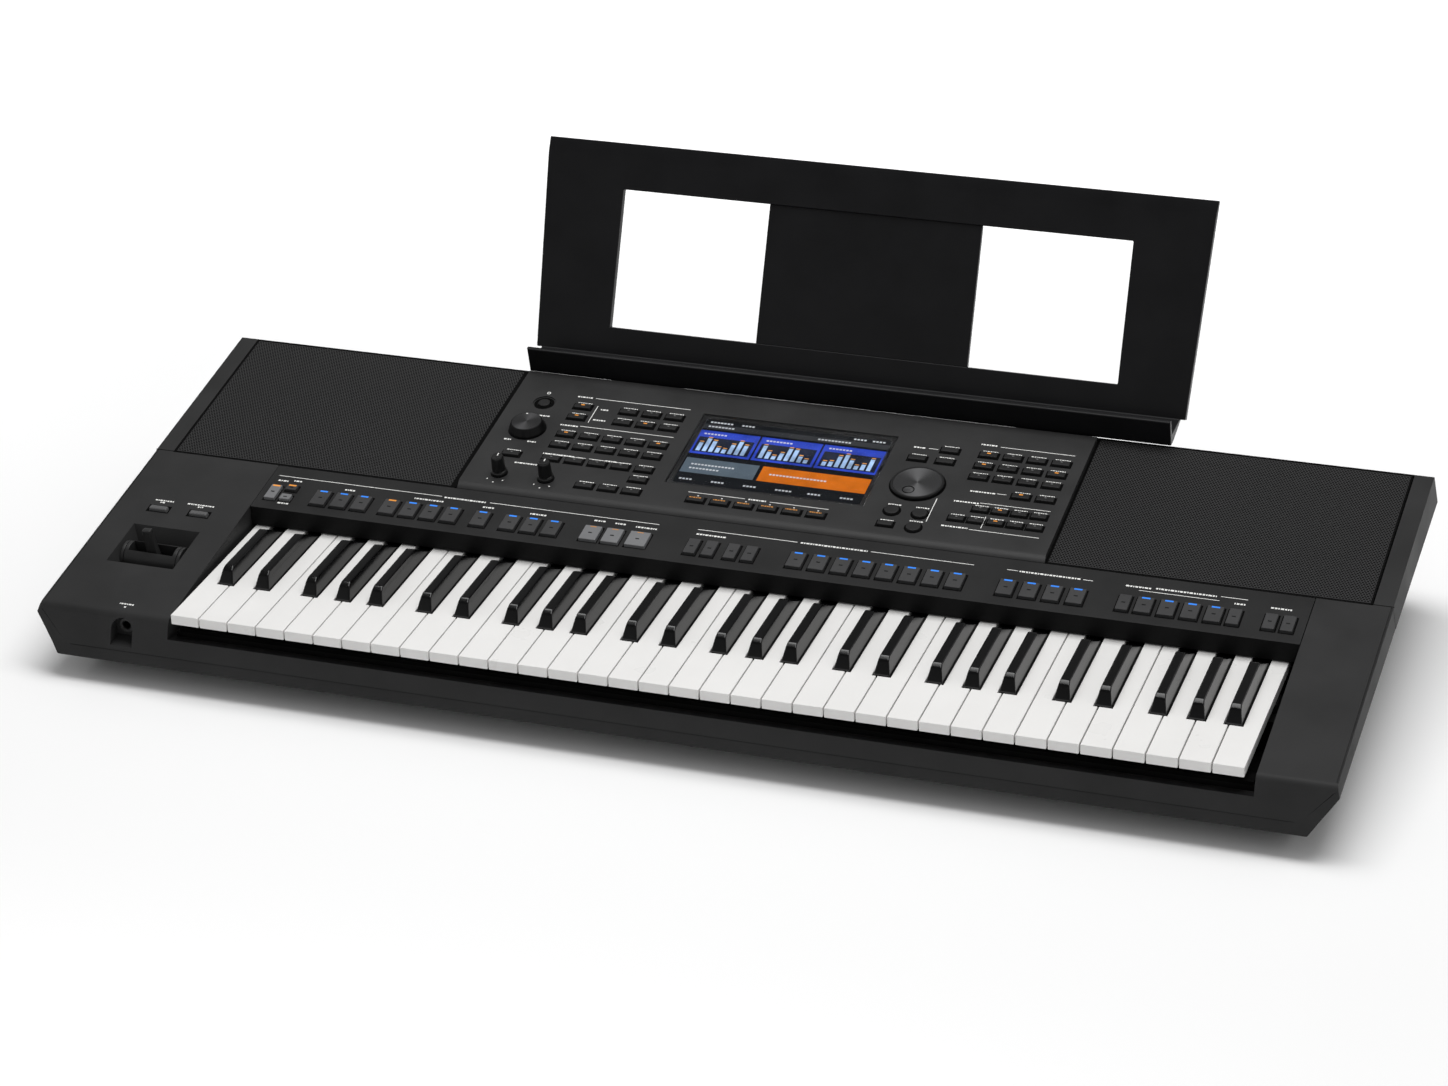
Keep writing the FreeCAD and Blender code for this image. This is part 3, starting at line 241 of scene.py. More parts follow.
def grille_finish(name, colour, pitch):
    """Black sheet with rows of punched holes."""
    finish, tree, shader = started(name)
    pattern = tree.nodes.new("ShaderNodeGroup")
    pattern.node_tree = punched_group()
    pattern.inputs["Pitch"].default_value = pitch
    link(tree, laid(tree, Vector()), pattern.inputs["Vector"])
    sheet = pattern.outputs["Sheet"]
    # The holes are near-black: painted shade for the dark inside seen through them
    link(tree, blended(tree, sheet, (0.001, 0.001, 0.001), colour), shader.inputs["Base Color"])
    link(tree, ranged(tree, sheet, 0.95, 0.45), shader.inputs["Roughness"])
    relief(tree, shader, sheet, 0.6, 0.4 * MM)
    shader.inputs["Specular IOR Level"].default_value = 0.12
    return finish


def spun_metal_painted_fans(name, colour, centre, painted_fan_turn):
    """A face turned on a lathe: fine rings about the centre, and two bright fans of painted highlight in its
    colour, set by the turn about the centre.
    """
    ring_scale = 900.0
    ring_waver = 0.4
    ring_share = 0.25
    painted_fan_sharpness = 6.0
    painted_dark_share = 0.5
    painted_bright_share = 3.2
    finish, tree, shader = started(name)
    lay = laid(tree, centre)
    grooves = tree.nodes.new("ShaderNodeTexWave")
    grooves.wave_type = "RINGS"
    grooves.rings_direction = "Z"
    grooves.inputs["Scale"].default_value = ring_scale
    grooves.inputs["Distortion"].default_value = ring_waver
    link(tree, lay, grooves.inputs["Vector"])
    split = tree.nodes.new("ShaderNodeSeparateXYZ")
    link(tree, lay, split.inputs["Vector"])
    # Painted highlight: the colour brightens in two opposite fans about the centre, and darkens between them
    turn = sum_node(tree, "ARCTAN2", split.outputs["Y"], split.outputs["X"])
    swing = sum_node(tree, "COSINE", sum_node(tree, "SUBTRACT", turn, math.radians(painted_fan_turn)), 0.0)
    painted_fan = sum_node(tree, "POWER", sum_node(tree, "ABSOLUTE", swing, 0.0), painted_fan_sharpness)
    tone = sum_node(tree, "ADD", sum_node(tree, "MULTIPLY", grooves.outputs["Fac"], ring_share),
                    sum_node(tree, "MULTIPLY", painted_fan, 1 - ring_share))
    link(tree, blended(tree, tone, shaded(colour, painted_dark_share), shaded(colour, painted_bright_share)),
         shader.inputs["Base Color"])
    relief(tree, shader, grooves.outputs["Fac"], 0.2, 0.1 * MM)
    shader.inputs["Metallic"].default_value = 0.3
    shader.inputs["Roughness"].default_value = 0.4
    shader.inputs["Specular IOR Level"].default_value = 0.2
    return finish


def lit(name, colour, strength=1.0, vary=0.15):
    """A lit surface whose glow drifts slightly from place to place."""
    finish, tree, shader = started(name)
    pattern = grained(tree, 900, 60)
    link(tree, blended(tree, pattern["Tone"], shaded(colour, 1 - vary), shaded(colour, 1 + vary)),
         shader.inputs["Emission Color"])
    shader.inputs["Emission Strength"].default_value = strength
    shader.inputs["Base Color"].default_value = shaded(colour, 0.05) + [1]
    shader.inputs["Roughness"].default_value = 0.6
    shader.inputs["Specular IOR Level"].default_value = 0.05
    return finish


def clear_glass(name):
    """The display's clear cover, with a trace of smear in its gloss."""
    finish, tree, shader = started(name)
    pattern = grained(tree, 900, 18)
    link(tree, ranged(tree, pattern["Tone"], 0.01, 0.05), shader.inputs["Roughness"])
    shader.inputs["Base Color"].default_value = (0.96, 0.97, 0.98, 1)
    shader.inputs["Transmission Weight"].default_value = 1.0
    shader.inputs["IOR"].default_value = 1.15
    shader.inputs["Specular IOR Level"].default_value = 0.3
    return finish


case_black = moulded("case_black", (0.0265, 0.0265, 0.0267), 0.5, grain=1500, bump=0.08, gloss=0.12)
strip_black = moulded("strip_black", (0.0195, 0.0195, 0.0197), 0.45, grain=2200, bump=0.04, gloss=0.12)
panel_black = moulded("panel_black", (0.0275, 0.0275, 0.0277), 0.42, grain=2200, bump=0.04, gloss=0.15)
# A darker black of painted shade for the wall over the keys and the key slot
painted_shade_black = moulded("painted_shade_black", (0.0075, 0.0075, 0.0077), 0.5, gloss=0.08)
rest_black = moulded("rest_black", (0.0088, 0.0088, 0.0095), 0.32, grain=2200, bump=0.03, gloss=0.12)
key_white = moulded("key_white", (0.8, 0.793, 0.78), 0.3, grain=900, bump=0.01, gloss=0.4, vary=0.015)
key_black = moulded("key_black", (0.002, 0.002, 0.0022), 0.14, grain=1500, bump=0.01, gloss=0.45)
button_dark = moulded("button_dark", (0.042, 0.042, 0.043), 0.5, gloss=0.2)
button_black = moulded("button_black", (0.014, 0.014, 0.0142), 0.42, gloss=0.2)
button_grey = moulded("button_grey", (0.165, 0.167, 0.172), 0.5, gloss=0.25, vary=0.06)
cheek_grey = moulded("cheek_grey", (0.09, 0.09, 0.092), 0.45, gloss=0.3, vary=0.06)
knob_black = moulded("knob_black", (0.004, 0.004, 0.0042), 0.35, gloss=0.4)
volume_black = moulded("volume_black", (0.004, 0.004, 0.0042), 0.35, gloss=0.12)
stick_black = moulded("stick_black", (0.022, 0.022, 0.0222), 0.4, gloss=0.3)
# Near-black for painted shade in the rings and strips of gaps and grooves, for the thin seam lines, and for the
# screen's black surround
painted_shade_seam_bezel_black = moulded("painted_shade_seam_bezel_black", (0.0015, 0.0015, 0.0015), 0.7, gloss=0.05)
mesh_black = grille_finish("punched_black", (0.036, 0.036, 0.0365), 2.3 * MM)
socket_black = moulded("socket_black", (0.008, 0.008, 0.008), 0.45, gloss=0.3)
steel = moulded("plated_steel", (0.55, 0.55, 0.56), 0.3, grain=700, bump=0.03, metal=1.0, vary=0.08)
iron = moulded("magnet_iron", (0.04, 0.04, 0.042), 0.6, grain=600, bump=0.15)
chassis_black = moulded("chassis_black", (0.012, 0.012, 0.012), 0.6, gloss=0.1)
felt_black = moulded("key_felt", (0.006, 0.006, 0.006), 0.95, grain=3000, bump=0.8, gloss=0.02, vary=0.3)
rubber_black = moulded("rubber_black", (0.015, 0.015, 0.015), 0.8, grain=2600, bump=0.2, gloss=0.15)
board_green = moulded("board_green", (0.012, 0.09, 0.04), 0.4, grain=500, bump=0.06, vary=0.35, cloud=220)
board_black = moulded("board_black", (0.006, 0.007, 0.006), 0.5, grain=500, bump=0.06, vary=0.35,
                      cloud=220)
cone_paper = moulded("cone_paper", (0.02, 0.02, 0.019), 0.9, grain=1300, bump=0.5, gloss=0.1, vary=0.3)
print_white = moulded("print_white", (0.8, 0.8, 0.78), 0.6, gloss=0.1, vary=0.08)
print_dark = moulded("print_dark", (0.008, 0.008, 0.008), 0.6, gloss=0.1, vary=0.08)
print_grey = moulded("print_grey", (0.2, 0.2, 0.2), 0.6, gloss=0.1, vary=0.08)
print_amber = moulded("print_amber", (0.55, 0.24, 0.06), 0.6, gloss=0.1, vary=0.08)
lamp_blue = lit("lamp_blue", (0.05, 0.28, 1.0))
lamp_amber = lit("lamp_amber", (0.85, 0.33, 0.06))


# Shapes
def block(bm, low, high):
    """A plain block between two corners."""
    middle = (Vector(low) + Vector(high)) / 2
    grow = Matrix.Diagonal(Vector(high) - Vector(low)).to_4x4()
    return bmesh.ops.create_cube(bm, size=1, matrix=Matrix.Translation(middle) @ grow)["verts"]


def edges_of(verts):
    """All the edges between these corners."""
    chosen = set(verts)
    return [edge for vert in verts for edge in vert.link_edges
            if vert == edge.verts[0] and edge.other_vert(vert) in chosen]


def soften(bm, edges, width, steps, clamp=True):
    """Round these edges."""
    bmesh.ops.bevel(bm, geom=edges, offset=width, offset_type="OFFSET", affect="EDGES", segments=steps,
                    profile=0.5, material=-1, clamp_overlap=clamp)


def turned(bm, points, centre, sides):
    """A shape turned about the upright through centre: points are (radius, height), foot first."""
    chain = [bm.verts.new((centre.x + radius, centre.y, height)) for radius, height in points]
    line = [bm.edges.new(pair) for pair in zip(chain, chain[1:])]
    bmesh.ops.spin(bm, geom=chain + line, cent=centre, axis=(0, 0, 1), angle=math.tau, steps=sides,
                   use_merge=True)
    bmesh.ops.remove_doubles(bm, verts=bm.verts[:], dist=0.001 * MM)
    bmesh.ops.recalc_face_normals(bm, faces=bm.faces[:])


def made(bm, name, body, finish, sharp=38):
    """The finished piece of this mesh, riding on its body."""
    for face in bm.faces:
        face.smooth = True
    for edge in bm.edges:
        edge.smooth = edge.is_manifold and edge.calc_face_angle() < math.radians(sharp)
    mesh = bpy.data.meshes.new(name)
    bm.to_mesh(mesh)
    bm.free()
    mesh.materials.append(finish)
    piece = bpy.data.objects.new(name, mesh)
    bpy.context.scene.collection.objects.link(piece)
    even = piece.modifiers.new("even_light", "WEIGHTED_NORMAL")
    even.keep_sharp = True
    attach(piece, body)
    return piece


weld = 0.002 * MM
weld_rounded = 0.004 * MM
flat_turn = math.radians(0.4)
most_past = 0.1 * MM
level_slack = 0.01 * MM


def joined(node):
    """A node's mesh with its triangles joined up and its flat faces whole."""
    bm = bmesh.new()
    bm.from_mesh(frame["nodes"][node].data)
    bmesh.ops.remove_doubles(bm, verts=bm.verts[:], dist=weld)
    bmesh.ops.dissolve_limit(bm, angle_limit=flat_turn, verts=bm.verts[:], edges=bm.edges[:])
    return bm


def softened(node, width, steps, finish, shortest=4.0, corner=40, sharp=38):
    """A node with its long sharp edges rounded; short ones are left where rounding would shoot past."""
    low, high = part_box(node)
    for least in (shortest, 3 * shortest, 9 * shortest, 27 * shortest):
        bm = joined(node)
        rims = [edge for edge in bm.edges if edge.is_manifold and edge.calc_length() > least * MM
                and edge.calc_face_angle() > math.radians(corner)]
        soften(bm, rims, width, steps, clamp=False)
        past = max(max(low[axis] - vert.co[axis], vert.co[axis] - high[axis])
                   for vert in bm.verts for axis in range(3))
        if past < most_past:
            break
    bmesh.ops.remove_doubles(bm, verts=bm.verts[:], dist=weld_rounded)
    piece = made(bm, node + "_moulding", body_of[node], finish, sharp)
    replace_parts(piece, node)
    return piece


def second_finish(piece, finish, chosen):
    """Gives the chosen faces of a piece another finish."""
    piece.data.materials.append(finish)
    for face in piece.data.polygons:
        if chosen(face):
            face.material_index = 1


Cap = namedtuple("Cap", "x along width length foot top round")
cap_row = 3 * MM
most_square_corners = 6


def caps_of(node):
    """The caps of a node of buttons, back row first, as places and sizes along the deck."""
    bm = joined(node)
    bm.transform(to_deck)
    found = []
    for start in bm.verts:
        if start.tag:
            continue
        start.tag = True
        island = [start]
        for vert in island:
            for edge in vert.link_edges:
                other = edge.other_vert(vert)
                if not other.tag:
                    other.tag = True
                    island.append(other)
        low = Vector([min(vert.co[axis] for vert in island) for axis in range(3)])
        high = Vector([max(vert.co[axis] for vert in island) for axis in range(3)])
        rim = sum(1 for vert in island if vert.co.z > high.z - level_slack)
        found.append(Cap((low.x + high.x) / 2, (low.y + high.y) / 2, high.x - low.x, high.y - low.y,
                         low.z, high.z, rim > most_square_corners))
    bm.free()
    return sorted(found, key=lambda cap: (-round(cap.along / cap_row), cap.x))


def cap_shape(bm, cap, narrow, width, steps):
    """One cap with a soft top, a little narrower than its foot."""
    level = cap.top - level_slack
    if cap.round:
        place = Matrix.Translation((cap.x, cap.along, (cap.top + cap.foot) / 2))
        verts = bmesh.ops.create_cone(bm, cap_ends=True, segments=32, radius1=cap.width / 2,
                                      radius2=cap.width / 2 - narrow / 2, depth=cap.top - cap.foot,
                                      matrix=place)["verts"]
    else:
        half = Vector((cap.width / 2, cap.length / 2, 0))
        centre = Vector((cap.x, cap.along, 0))
        verts = block(bm, centre - half + Vector((0, 0, cap.foot)),
                      centre + half + Vector((0, 0, cap.top)))
        upper = [vert for vert in verts if vert.co.z > level]
        share = Vector((1 - narrow / cap.width, 1 - narrow / cap.length, 1))
        bmesh.ops.scale(bm, vec=share, space=Matrix.Translation(-centre), verts=upper)
    rims = [edge for edge in edges_of(verts) if max(vert.co.z for vert in edge.verts) > level
            and (not cap.round or min(vert.co.z for vert in edge.verts) > level)]
    soften(bm, rims, width, steps)


def buttons(node, finish, narrow=0.7 * MM, width=0.6 * MM, steps=3, pale=None, pale_caps=()):
    """All the caps of a node, and their places; some caps may have a paler finish."""
    caps = caps_of(node)
    bm = bmesh.new()
    for cap in caps:
        cap_shape(bm, cap, narrow, width, steps)
    bm.transform(deck)
    piece = made(bm, node + "_caps", body_of[node], finish)
    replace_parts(piece, node)

    def is_pale(face):
        spot = to_deck @ face.center
        gaps = [max(abs(spot.x - cap.x) - cap.width / 2, abs(spot.y - cap.along) - cap.length / 2)
                for cap in caps]
        return gaps.index(min(gaps)) in pale_caps
    if pale:
        second_finish(piece, pale, is_pale)
    return caps


def tags(name, body, finish, marks, thick=print_thick):
    """Thin printed or lit bars: each mark is a place (x, along, up) and a size (wide, long)."""
    bm = bmesh.new()
    for place, size in marks:
        half = Vector((size[0] / 2, size[1] / 2, thick))
        block(bm, Vector(place) - half, Vector(place) + half)
    bm.transform(deck)
    return made(bm, name, body, finish)


dash_shares = (1.1, 0.6, 1.5, 0.9, 0.5, 1.2)
gap_share = 0.42
least_dash = 0.5 * MM


def dashes(left, right, along, up, tall, start=0):
    """The marks of a caption: short dashes of uneven length from left to right."""
    marks = []
    step = start
    while left < right - least_dash:
        long = min(dash_shares[step % len(dash_shares)] * tall, right - left)
        marks.append(((left + long / 2, along, up), (long, tall)))
        left += long + gap_share * tall
        step += 1
    return marks


def rings(name, finish, outlines, body="keyboard_body"):
    """Thin flat frames on the deck: each is x, along, inner width and length, up, rim, round or not."""
    bm = bmesh.new()
    for x, along, width, length, up, rim, is_round in outlines:
        place = Matrix.Translation((x, along, up))
        if is_round:
            sheet = bmesh.ops.create_circle(bm, cap_ends=True, segments=64, radius=width / 2 + rim,
                                            matrix=place)
        else:
            grow = Matrix.Diagonal((width + 2 * rim, length + 2 * rim, 1, 1))
            sheet = bmesh.ops.create_grid(bm, x_segments=1, y_segments=1, size=0.5, matrix=place @ grow)
        face = sheet["verts"][0].link_faces[0]
        bmesh.ops.inset_individual(bm, faces=[face], thickness=rim, use_even_offset=True)
        bmesh.ops.delete(bm, geom=[face], context="FACES")
    bmesh.ops.recalc_face_normals(bm, faces=bm.faces[:])
    bmesh.ops.solidify(bm, geom=bm.faces[:], thickness=print_thick)
    bmesh.ops.recalc_face_normals(bm, faces=bm.faces[:])
    bm.transform(deck)
    return made(bm, name, body, finish)


def gap_shade_rings(name, caps, up, rim):
    """A thin black ring round each cap: painted shade for the gap round it."""
    slack = 0.3 * MM
    rings(name, painted_shade_seam_bezel_black,
          [(cap.x, cap.along, cap.width + slack, cap.length + slack, up, rim, cap.round) for cap in caps])


# Housing
housing = {}
for node, width, finish, slot in (
        ("upper_case", 0.8, case_black, "case_plastic"),
        ("bottom_case", 0.8, case_black, "case_plastic"),
        ("button_panel", 0.3, strip_black, "panel_plastic"),
        ("control_panel", 0.4, panel_black, "panel_plastic"),
        ("left_speaker_grille", 0.4, mesh_black, "speaker_grille"),
        ("right_speaker_grille", 0.4, mesh_black, "speaker_grille"),
        ("music_rest", 0.8, rest_black, "rest_plastic"),
        ("music_rest_panel", 0.5, rest_black, "rest_plastic")):
    housing[node] = softened(node, width * MM, 2, finish)

# Painted shade: the wall over the keys and the inside of the key slot get a darker matt black for the shade that
# falls there
painted_shade_start = -1.2 * MM
slot_inset = 1 * MM
slot_left = strip_low.x + slot_inset
slot_right = strip_high.x - slot_inset
slot_shade_faces_up = 0.9
slot_shade_faces_back = 0.5
second_finish(housing["button_panel"], painted_shade_black, lambda face: (to_deck @ face.center).z < painted_shade_start)
second_finish(housing["upper_case"], painted_shade_black, lambda face: slot_left < face.center.x < slot_right
              and (face.normal.z > slot_shade_faces_up or face.normal.y > slot_shade_faces_back))

# Painted shade: black rims round the grilles and a black strip for the gap beside the left grille; thin dark seam
# lines across the cheeks
edge_shade = 1.3 * MM
seam = 0.7 * MM
left_gap_shade = 4.8 * MM
grille_edge_shades = []
seams_and_gap_shade = []
for node in ("left_speaker_grille", "right_speaker_grille"):
    low, high = deck_box(node)
    grille_edge_shades.append(((low.x + high.x) / 2, (low.y + high.y) / 2, high.x - low.x - 2 * edge_shade,
                         high.y - low.y - 2 * edge_shade, high.z + 0.02 * MM, edge_shade, False))
    side = math.copysign(1, low.x)
    outer = low.x if side < 0 else high.x
    cheek = cad_box[1][0] - abs(outer) - 2 * MM
    seams_and_gap_shade.append(((outer + side * cheek / 2, low.y, 0), (cheek, seam)))
low, high = deck_box("left_speaker_grille")
seams_and_gap_shade.append(((high.x - left_gap_shade / 2, (low.y + high.y) / 2, high.z), (left_gap_shade, high.y - low.y)))
tags("case_seams_and_gap_shade", "keyboard_body", painted_shade_seam_bezel_black, seams_and_gap_shade)
rings("grille_edge_shade_rings", painted_shade_seam_bezel_black, grille_edge_shades)

# Keys
notes = ("c", "c_sharp", "d", "d_sharp", "e", "f", "f_sharp", "g", "g_sharp", "a", "a_sharp", "b")
for note in notes:
    if note.endswith("sharp"):
        softened("key_" + note, 1.0 * MM, 4, key_black, shortest=2.0, corner=25)
    else:
        softened("key_" + note, 0.6 * MM, 3, key_white, shortest=2.0)

# Buttons, and thin black rings of painted shade for the gaps round them
strip_groups = ("style_section_buttons", "player_buttons", "memory_buttons", "setting_buttons",
                "right_bank_buttons")
strip_caps = {node: buttons(node, button_dark) for node in strip_groups}
strip_caps["accompaniment_buttons"] = buttons("accompaniment_buttons", button_dark,
                                              pale=button_grey, pale_caps=(1, 2))
strip_caps["start_buttons"] = buttons("start_buttons", button_grey)
cheek_caps = buttons("joystick_buttons", cheek_grey, narrow=2.4 * MM, width=1.1 * MM)
panel_groups = ("function_buttons", "style_select_buttons", "display_buttons", "menu_buttons",
                "voice_buttons", "part_buttons", "power_button")
panel_caps = {node: buttons(node, button_black) for node in panel_groups}
ring_lift = 0.05 * MM
strip_shade_rim = 0.8 * MM
cheek_shade_rim = 0.9 * MM
panel_shade_rim = 1.0 * MM
for node, caps in strip_caps.items():
    gap_shade_rings(node + "_gap_shades", caps, strip_top + ring_lift, strip_shade_rim)
gap_shade_rings("joystick_button_gap_shades", cheek_caps, ring_lift, cheek_shade_rim)
for node, caps in panel_caps.items():
    if node != "power_button":
        gap_shade_rings(node + "_gap_shades", caps, panel_top + ring_lift, panel_shade_rim)

power = panel_caps["power_button"][0]
power_recess = 1.0 * MM
power_floor = panel_top - power_recess + 0.1 * MM
power_slack = 1.0 * MM
power_shade_rim = 2.6 * MM
# A black ring of painted shade in the recess round the power button
rings("power_recess_shade", painted_shade_seam_bezel_black,
      [(power.x, power.along, power.width + power_slack, 0, power_floor, power_shade_rim, True)])

# Lamps and printed marks
lamp_size = (6.2 * MM, 1.6 * MM)
lamp_inset = 1.9 * MM
start_lamp = (5.0 * MM, 0.8 * MM)
narrow_cap = 11 * MM


def back_lamps(name, node, finish, caps, size=lamp_size):
    """A lit bar at the back edge of each cap."""
    tags(name, body_of[node], finish,
         [((cap.x, cap.along + cap.length / 2 - lamp_inset, cap.top), size) for cap in caps])


style_caps = strip_caps["style_section_buttons"]
back_lamps("style_lamps", "style_section_buttons", lamp_blue, style_caps[:3] + style_caps[4:])
back_lamps("style_fill_lamp", "style_section_buttons", lamp_amber, style_caps[3:4])
back_lamps("memory_lamps", "memory_buttons", lamp_blue, strip_caps["memory_buttons"])
back_lamps("setting_lamps", "setting_buttons", lamp_blue, strip_caps["setting_buttons"])
wide_caps = [cap for cap in strip_caps["right_bank_buttons"] if cap.width > narrow_cap]
back_lamps("right_bank_lamps", "right_bank_buttons", lamp_blue, wide_caps)
back_lamps("accompaniment_lamps", "accompaniment_buttons", lamp_amber,
           strip_caps["accompaniment_buttons"][:2])
back_lamps("start_lamps", "start_buttons", print_amber, strip_caps["start_buttons"], start_lamp)

strip_mark = (3.0 * MM, 1.2 * MM)
mark_shift = 0.5 * MM
for node, caps in strip_caps.items():
    tags(node + "_marks", body_of[node], print_dark,
         [((cap.x, cap.along - mark_shift, cap.top), strip_mark) for cap in caps])

panel_lamp = (3.0 * MM, 1.2 * MM)
panel_mark = (1.5 * MM, 0.8 * MM)
panel_mark_share = 0.1
for node, lit_caps in (("function_buttons", (0, 4, 6)), ("style_select_buttons", (0, 4)),
                       ("voice_buttons", (0, 4, 7, 12)), ("part_buttons", (1, 6))):
    places = [(cap.x, cap.along + panel_mark_share * cap.length, cap.top) for cap in panel_caps[node]]
    tags(node + "_lamps", body_of[node], lamp_amber,
         [(places[index], panel_lamp) for index in lit_caps])
    tags(node + "_marks", body_of[node], print_grey,
         [(place, panel_mark) for index, place in enumerate(places) if index not in lit_caps])

caption_share = 0.42
caption_widest = 14 * MM
caption_gap = 2.1 * MM
caption_tall = 1.3 * MM
for node in ("function_buttons", "style_select_buttons", "menu_buttons", "voice_buttons", "part_buttons"):
    marks = []
    for index, cap in enumerate(panel_caps[node]):
        half = caption_share * min(cap.width, caption_widest)
        marks += dashes(cap.x - half, cap.x + half, cap.along + cap.length / 2 + caption_gap, panel_top,
                        caption_tall, index)
    tags(node + "_captions", "keyboard_body", print_white, marks)

display_share = 0.36
display_shift_share = 0.14
display_tall = 1.2 * MM
dot_gap = 2.6 * MM
dot = (1.1 * MM, 1.1 * MM)
display_marks = []
display_dots = []
for index, cap in enumerate(panel_caps["display_buttons"]):
    display_marks += dashes(cap.x - display_share * cap.width, cap.x + display_share * cap.width,
                            cap.along + display_shift_share * cap.length, cap.top, display_tall, index)
    display_dots.append(((cap.x, cap.along + cap.length / 2 + dot_gap, panel_top), dot))
tags("display_captions", body_of["display_buttons"], print_amber, display_marks)
tags("display_dots", "keyboard_body", print_white, display_dots)

# Printed rules and captions: left, right and along, in millimetres on the deck
rule = 0.55 * MM
strip_tall = 1.7 * MM
panel_tall = 1.6 * MM
cheek_tall = 1.5 * MM
strip_rules = ((-384, -244.6, 196.3), (-204, -63.7, 196.0), (-32.3, 47.8, 196.3), (106, 186.7, 196.3),
               (212.3, 220.7, 196.0), (270.7, 278.2, 195.5), (314, 374.3, 191.4), (374.3, 394.5, 196.6))
strip_words = ((-382.3, -373.8, 190.2), (-369.3, -362.7, 191.8), (-370.6, -361.5, 161.5),
               (-324.1, -315.8, 188.9), (-265.1, -240.8, 189.6), (-242.1, -206.3, 195.6),
               (-207.4, -197.2, 189.6), (-167.6, -154, 188.9), (-115.1, -106, 191.0),
               (-97.7, -88.1, 190.6), (-80.5, -63.6, 189.6), (-31.5, -8, 190.5), (50.5, 103.5, 196.2),
               (222, 268.6, 195.7),
               (303.3, 322.6, 195.2), (325.9, 371.7, 196.1), (385.8, 394.3, 190.4), (412.7, 428.1, 191.0))
panel_rules = ((-169.5, -88.7, 344.6), (-168.3, -89.4, 304.8), (-155.6, -148.5, 263.2),
               (-145.4, -134, 263.2), (-120.8, -110.3, 263.3), (167.6, 227.2, 344.0), (113.1, 120.6, 331.1),
               (180.9, 188.5, 283.1), (171.6, 226.9, 268.8), (172.5, 226.9, 233.9), (-53.6, -7.5, 236.9),
               (12.7, 60.2, 236.7))
panel_words = ((-184.8, -171.3, 344.6), (-160, -153.2, 330.4), (-161.5, -151, 315.6),
               (-184.9, -170.1, 303.9), (-184.4, -157.7, 263.3), (-132, -122.6, 263.1),
               (-202.3, -183.6, 246.8),
               (-207.9, -197.6, 312.9), (-222.7, -215.8, 276), (-202.9, -195.7, 276.4),
               (151.9, 165.4, 344.8),
               (101.1, 111.1, 330.9), (159.9, 179.8, 282.7), (151.3, 170.8, 267.7), (150.3, 171, 234.8),
               (-4.5, 9.7, 236.8))
cheek_words = ((-468.7, -452.3, 144.9), (-463.5, -459.5, 142.4), (-441, -418.1, 145.2),
               (-431, -426.5, 142.7), (-436.8, -424.6, 13.2), (-431.4, -429.8, 9.6))
upright_rules = ((-164, 311, 334.6), (137.8, 237, 267.7), (180.7, 237.1, 252.2))


def line_marks(lines, up):
    return [(((left + right) / 2 * MM, along * MM, up), ((right - left) * MM, rule))
            for left, right, along in lines]


def word_marks(words, up, tall):
    marks = []
    for index, (left, right, along) in enumerate(words):
        marks += dashes(left * MM, right * MM, along * MM, up, tall, index)
    return marks


tags("strip_print", "keyboard_body", print_white,
     line_marks(strip_rules, strip_top) + word_marks(strip_words, strip_top, strip_tall))
tags("panel_print", "keyboard_body", print_white,
     line_marks(panel_rules, panel_top) + word_marks(panel_words, panel_top, panel_tall)
     + [((x * MM, (front + back) / 2 * MM, panel_top), (rule, (back - front) * MM))
        for x, front, back in upright_rules])
tags("cheek_print", "keyboard_body", print_white, word_marks(cheek_words, 0, cheek_tall))
symbol_shift = 0.9 * MM
symbol_gap = 13.7 * MM
symbol_hole = 2.0 * MM
symbol_rim = 0.6 * MM
rings("power_symbol", print_white,
      [(power.x - symbol_shift, power.along + symbol_gap, symbol_hole, 0, panel_top + ring_lift, symbol_rim,
        True)])

# Knobs
Wheel = namedtuple("Wheel", "x y low high reach")


def wheel_of(node):
    """The upright centre, heights and radius of a turned node."""
    low, high = deck_box(node)
    return Wheel((low.x + high.x) / 2, (low.y + high.y) / 2, low.z, high.z, (high.x - low.x) / 2)


def turning(name, node, finish, points, wheel, sides):
    """A turned piece of a knob: points are shares of the reach and heights."""
    bm = bmesh.new()
    turned(bm, [(share * wheel.reach, height) for share, height in points],
           Vector((wheel.x, wheel.y, 0)), sides)
    bm.transform(deck)
    return made(bm, name, body_of[node], finish)


volume = wheel_of("volume_knob")
rise = volume.high - volume.low
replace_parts(turning("volume_knob_turning", "volume_knob", volume_black,
                    [(0, volume.low), (1, volume.low), (1, volume.low + 0.16 * rise),
                     (0.975, volume.low + 0.26 * rise), (0.87, volume.high - 0.16 * rise),
                     (0.84, volume.high - 0.05 * rise), (0.80, volume.high - 0.3 * MM),
                     (0, volume.high - 0.3 * MM)], volume, 72), "volume_knob")
# The spun top of the knob carries painted highlight fans in its colour
volume_spun_painted_fans = spun_metal_painted_fans("volume_spun_painted_fans", (0.024, 0.024, 0.0247), Vector((volume.x, volume.y, 0)), 80)
turning("volume_knob_face", "volume_knob", volume_spun_painted_fans,
        [(0, volume.high - 0.6 * MM), (0.79, volume.high - 0.6 * MM), (0.79, volume.high - 0.1 * MM),
         (0.78, volume.high), (0, volume.high)], volume, 72)
pointer_turn = math.radians(108)
pointer_reach = 0.7 * volume.reach
pointer_sink = 0.05 * MM
volume_pointer = (1.6 * MM, 1.0 * MM)
tags("volume_pointer", "volume_knob", print_white,
     [((volume.x + pointer_reach * math.cos(pointer_turn),
        volume.y + pointer_reach * math.sin(pointer_turn), volume.high - pointer_sink), volume_pointer)])

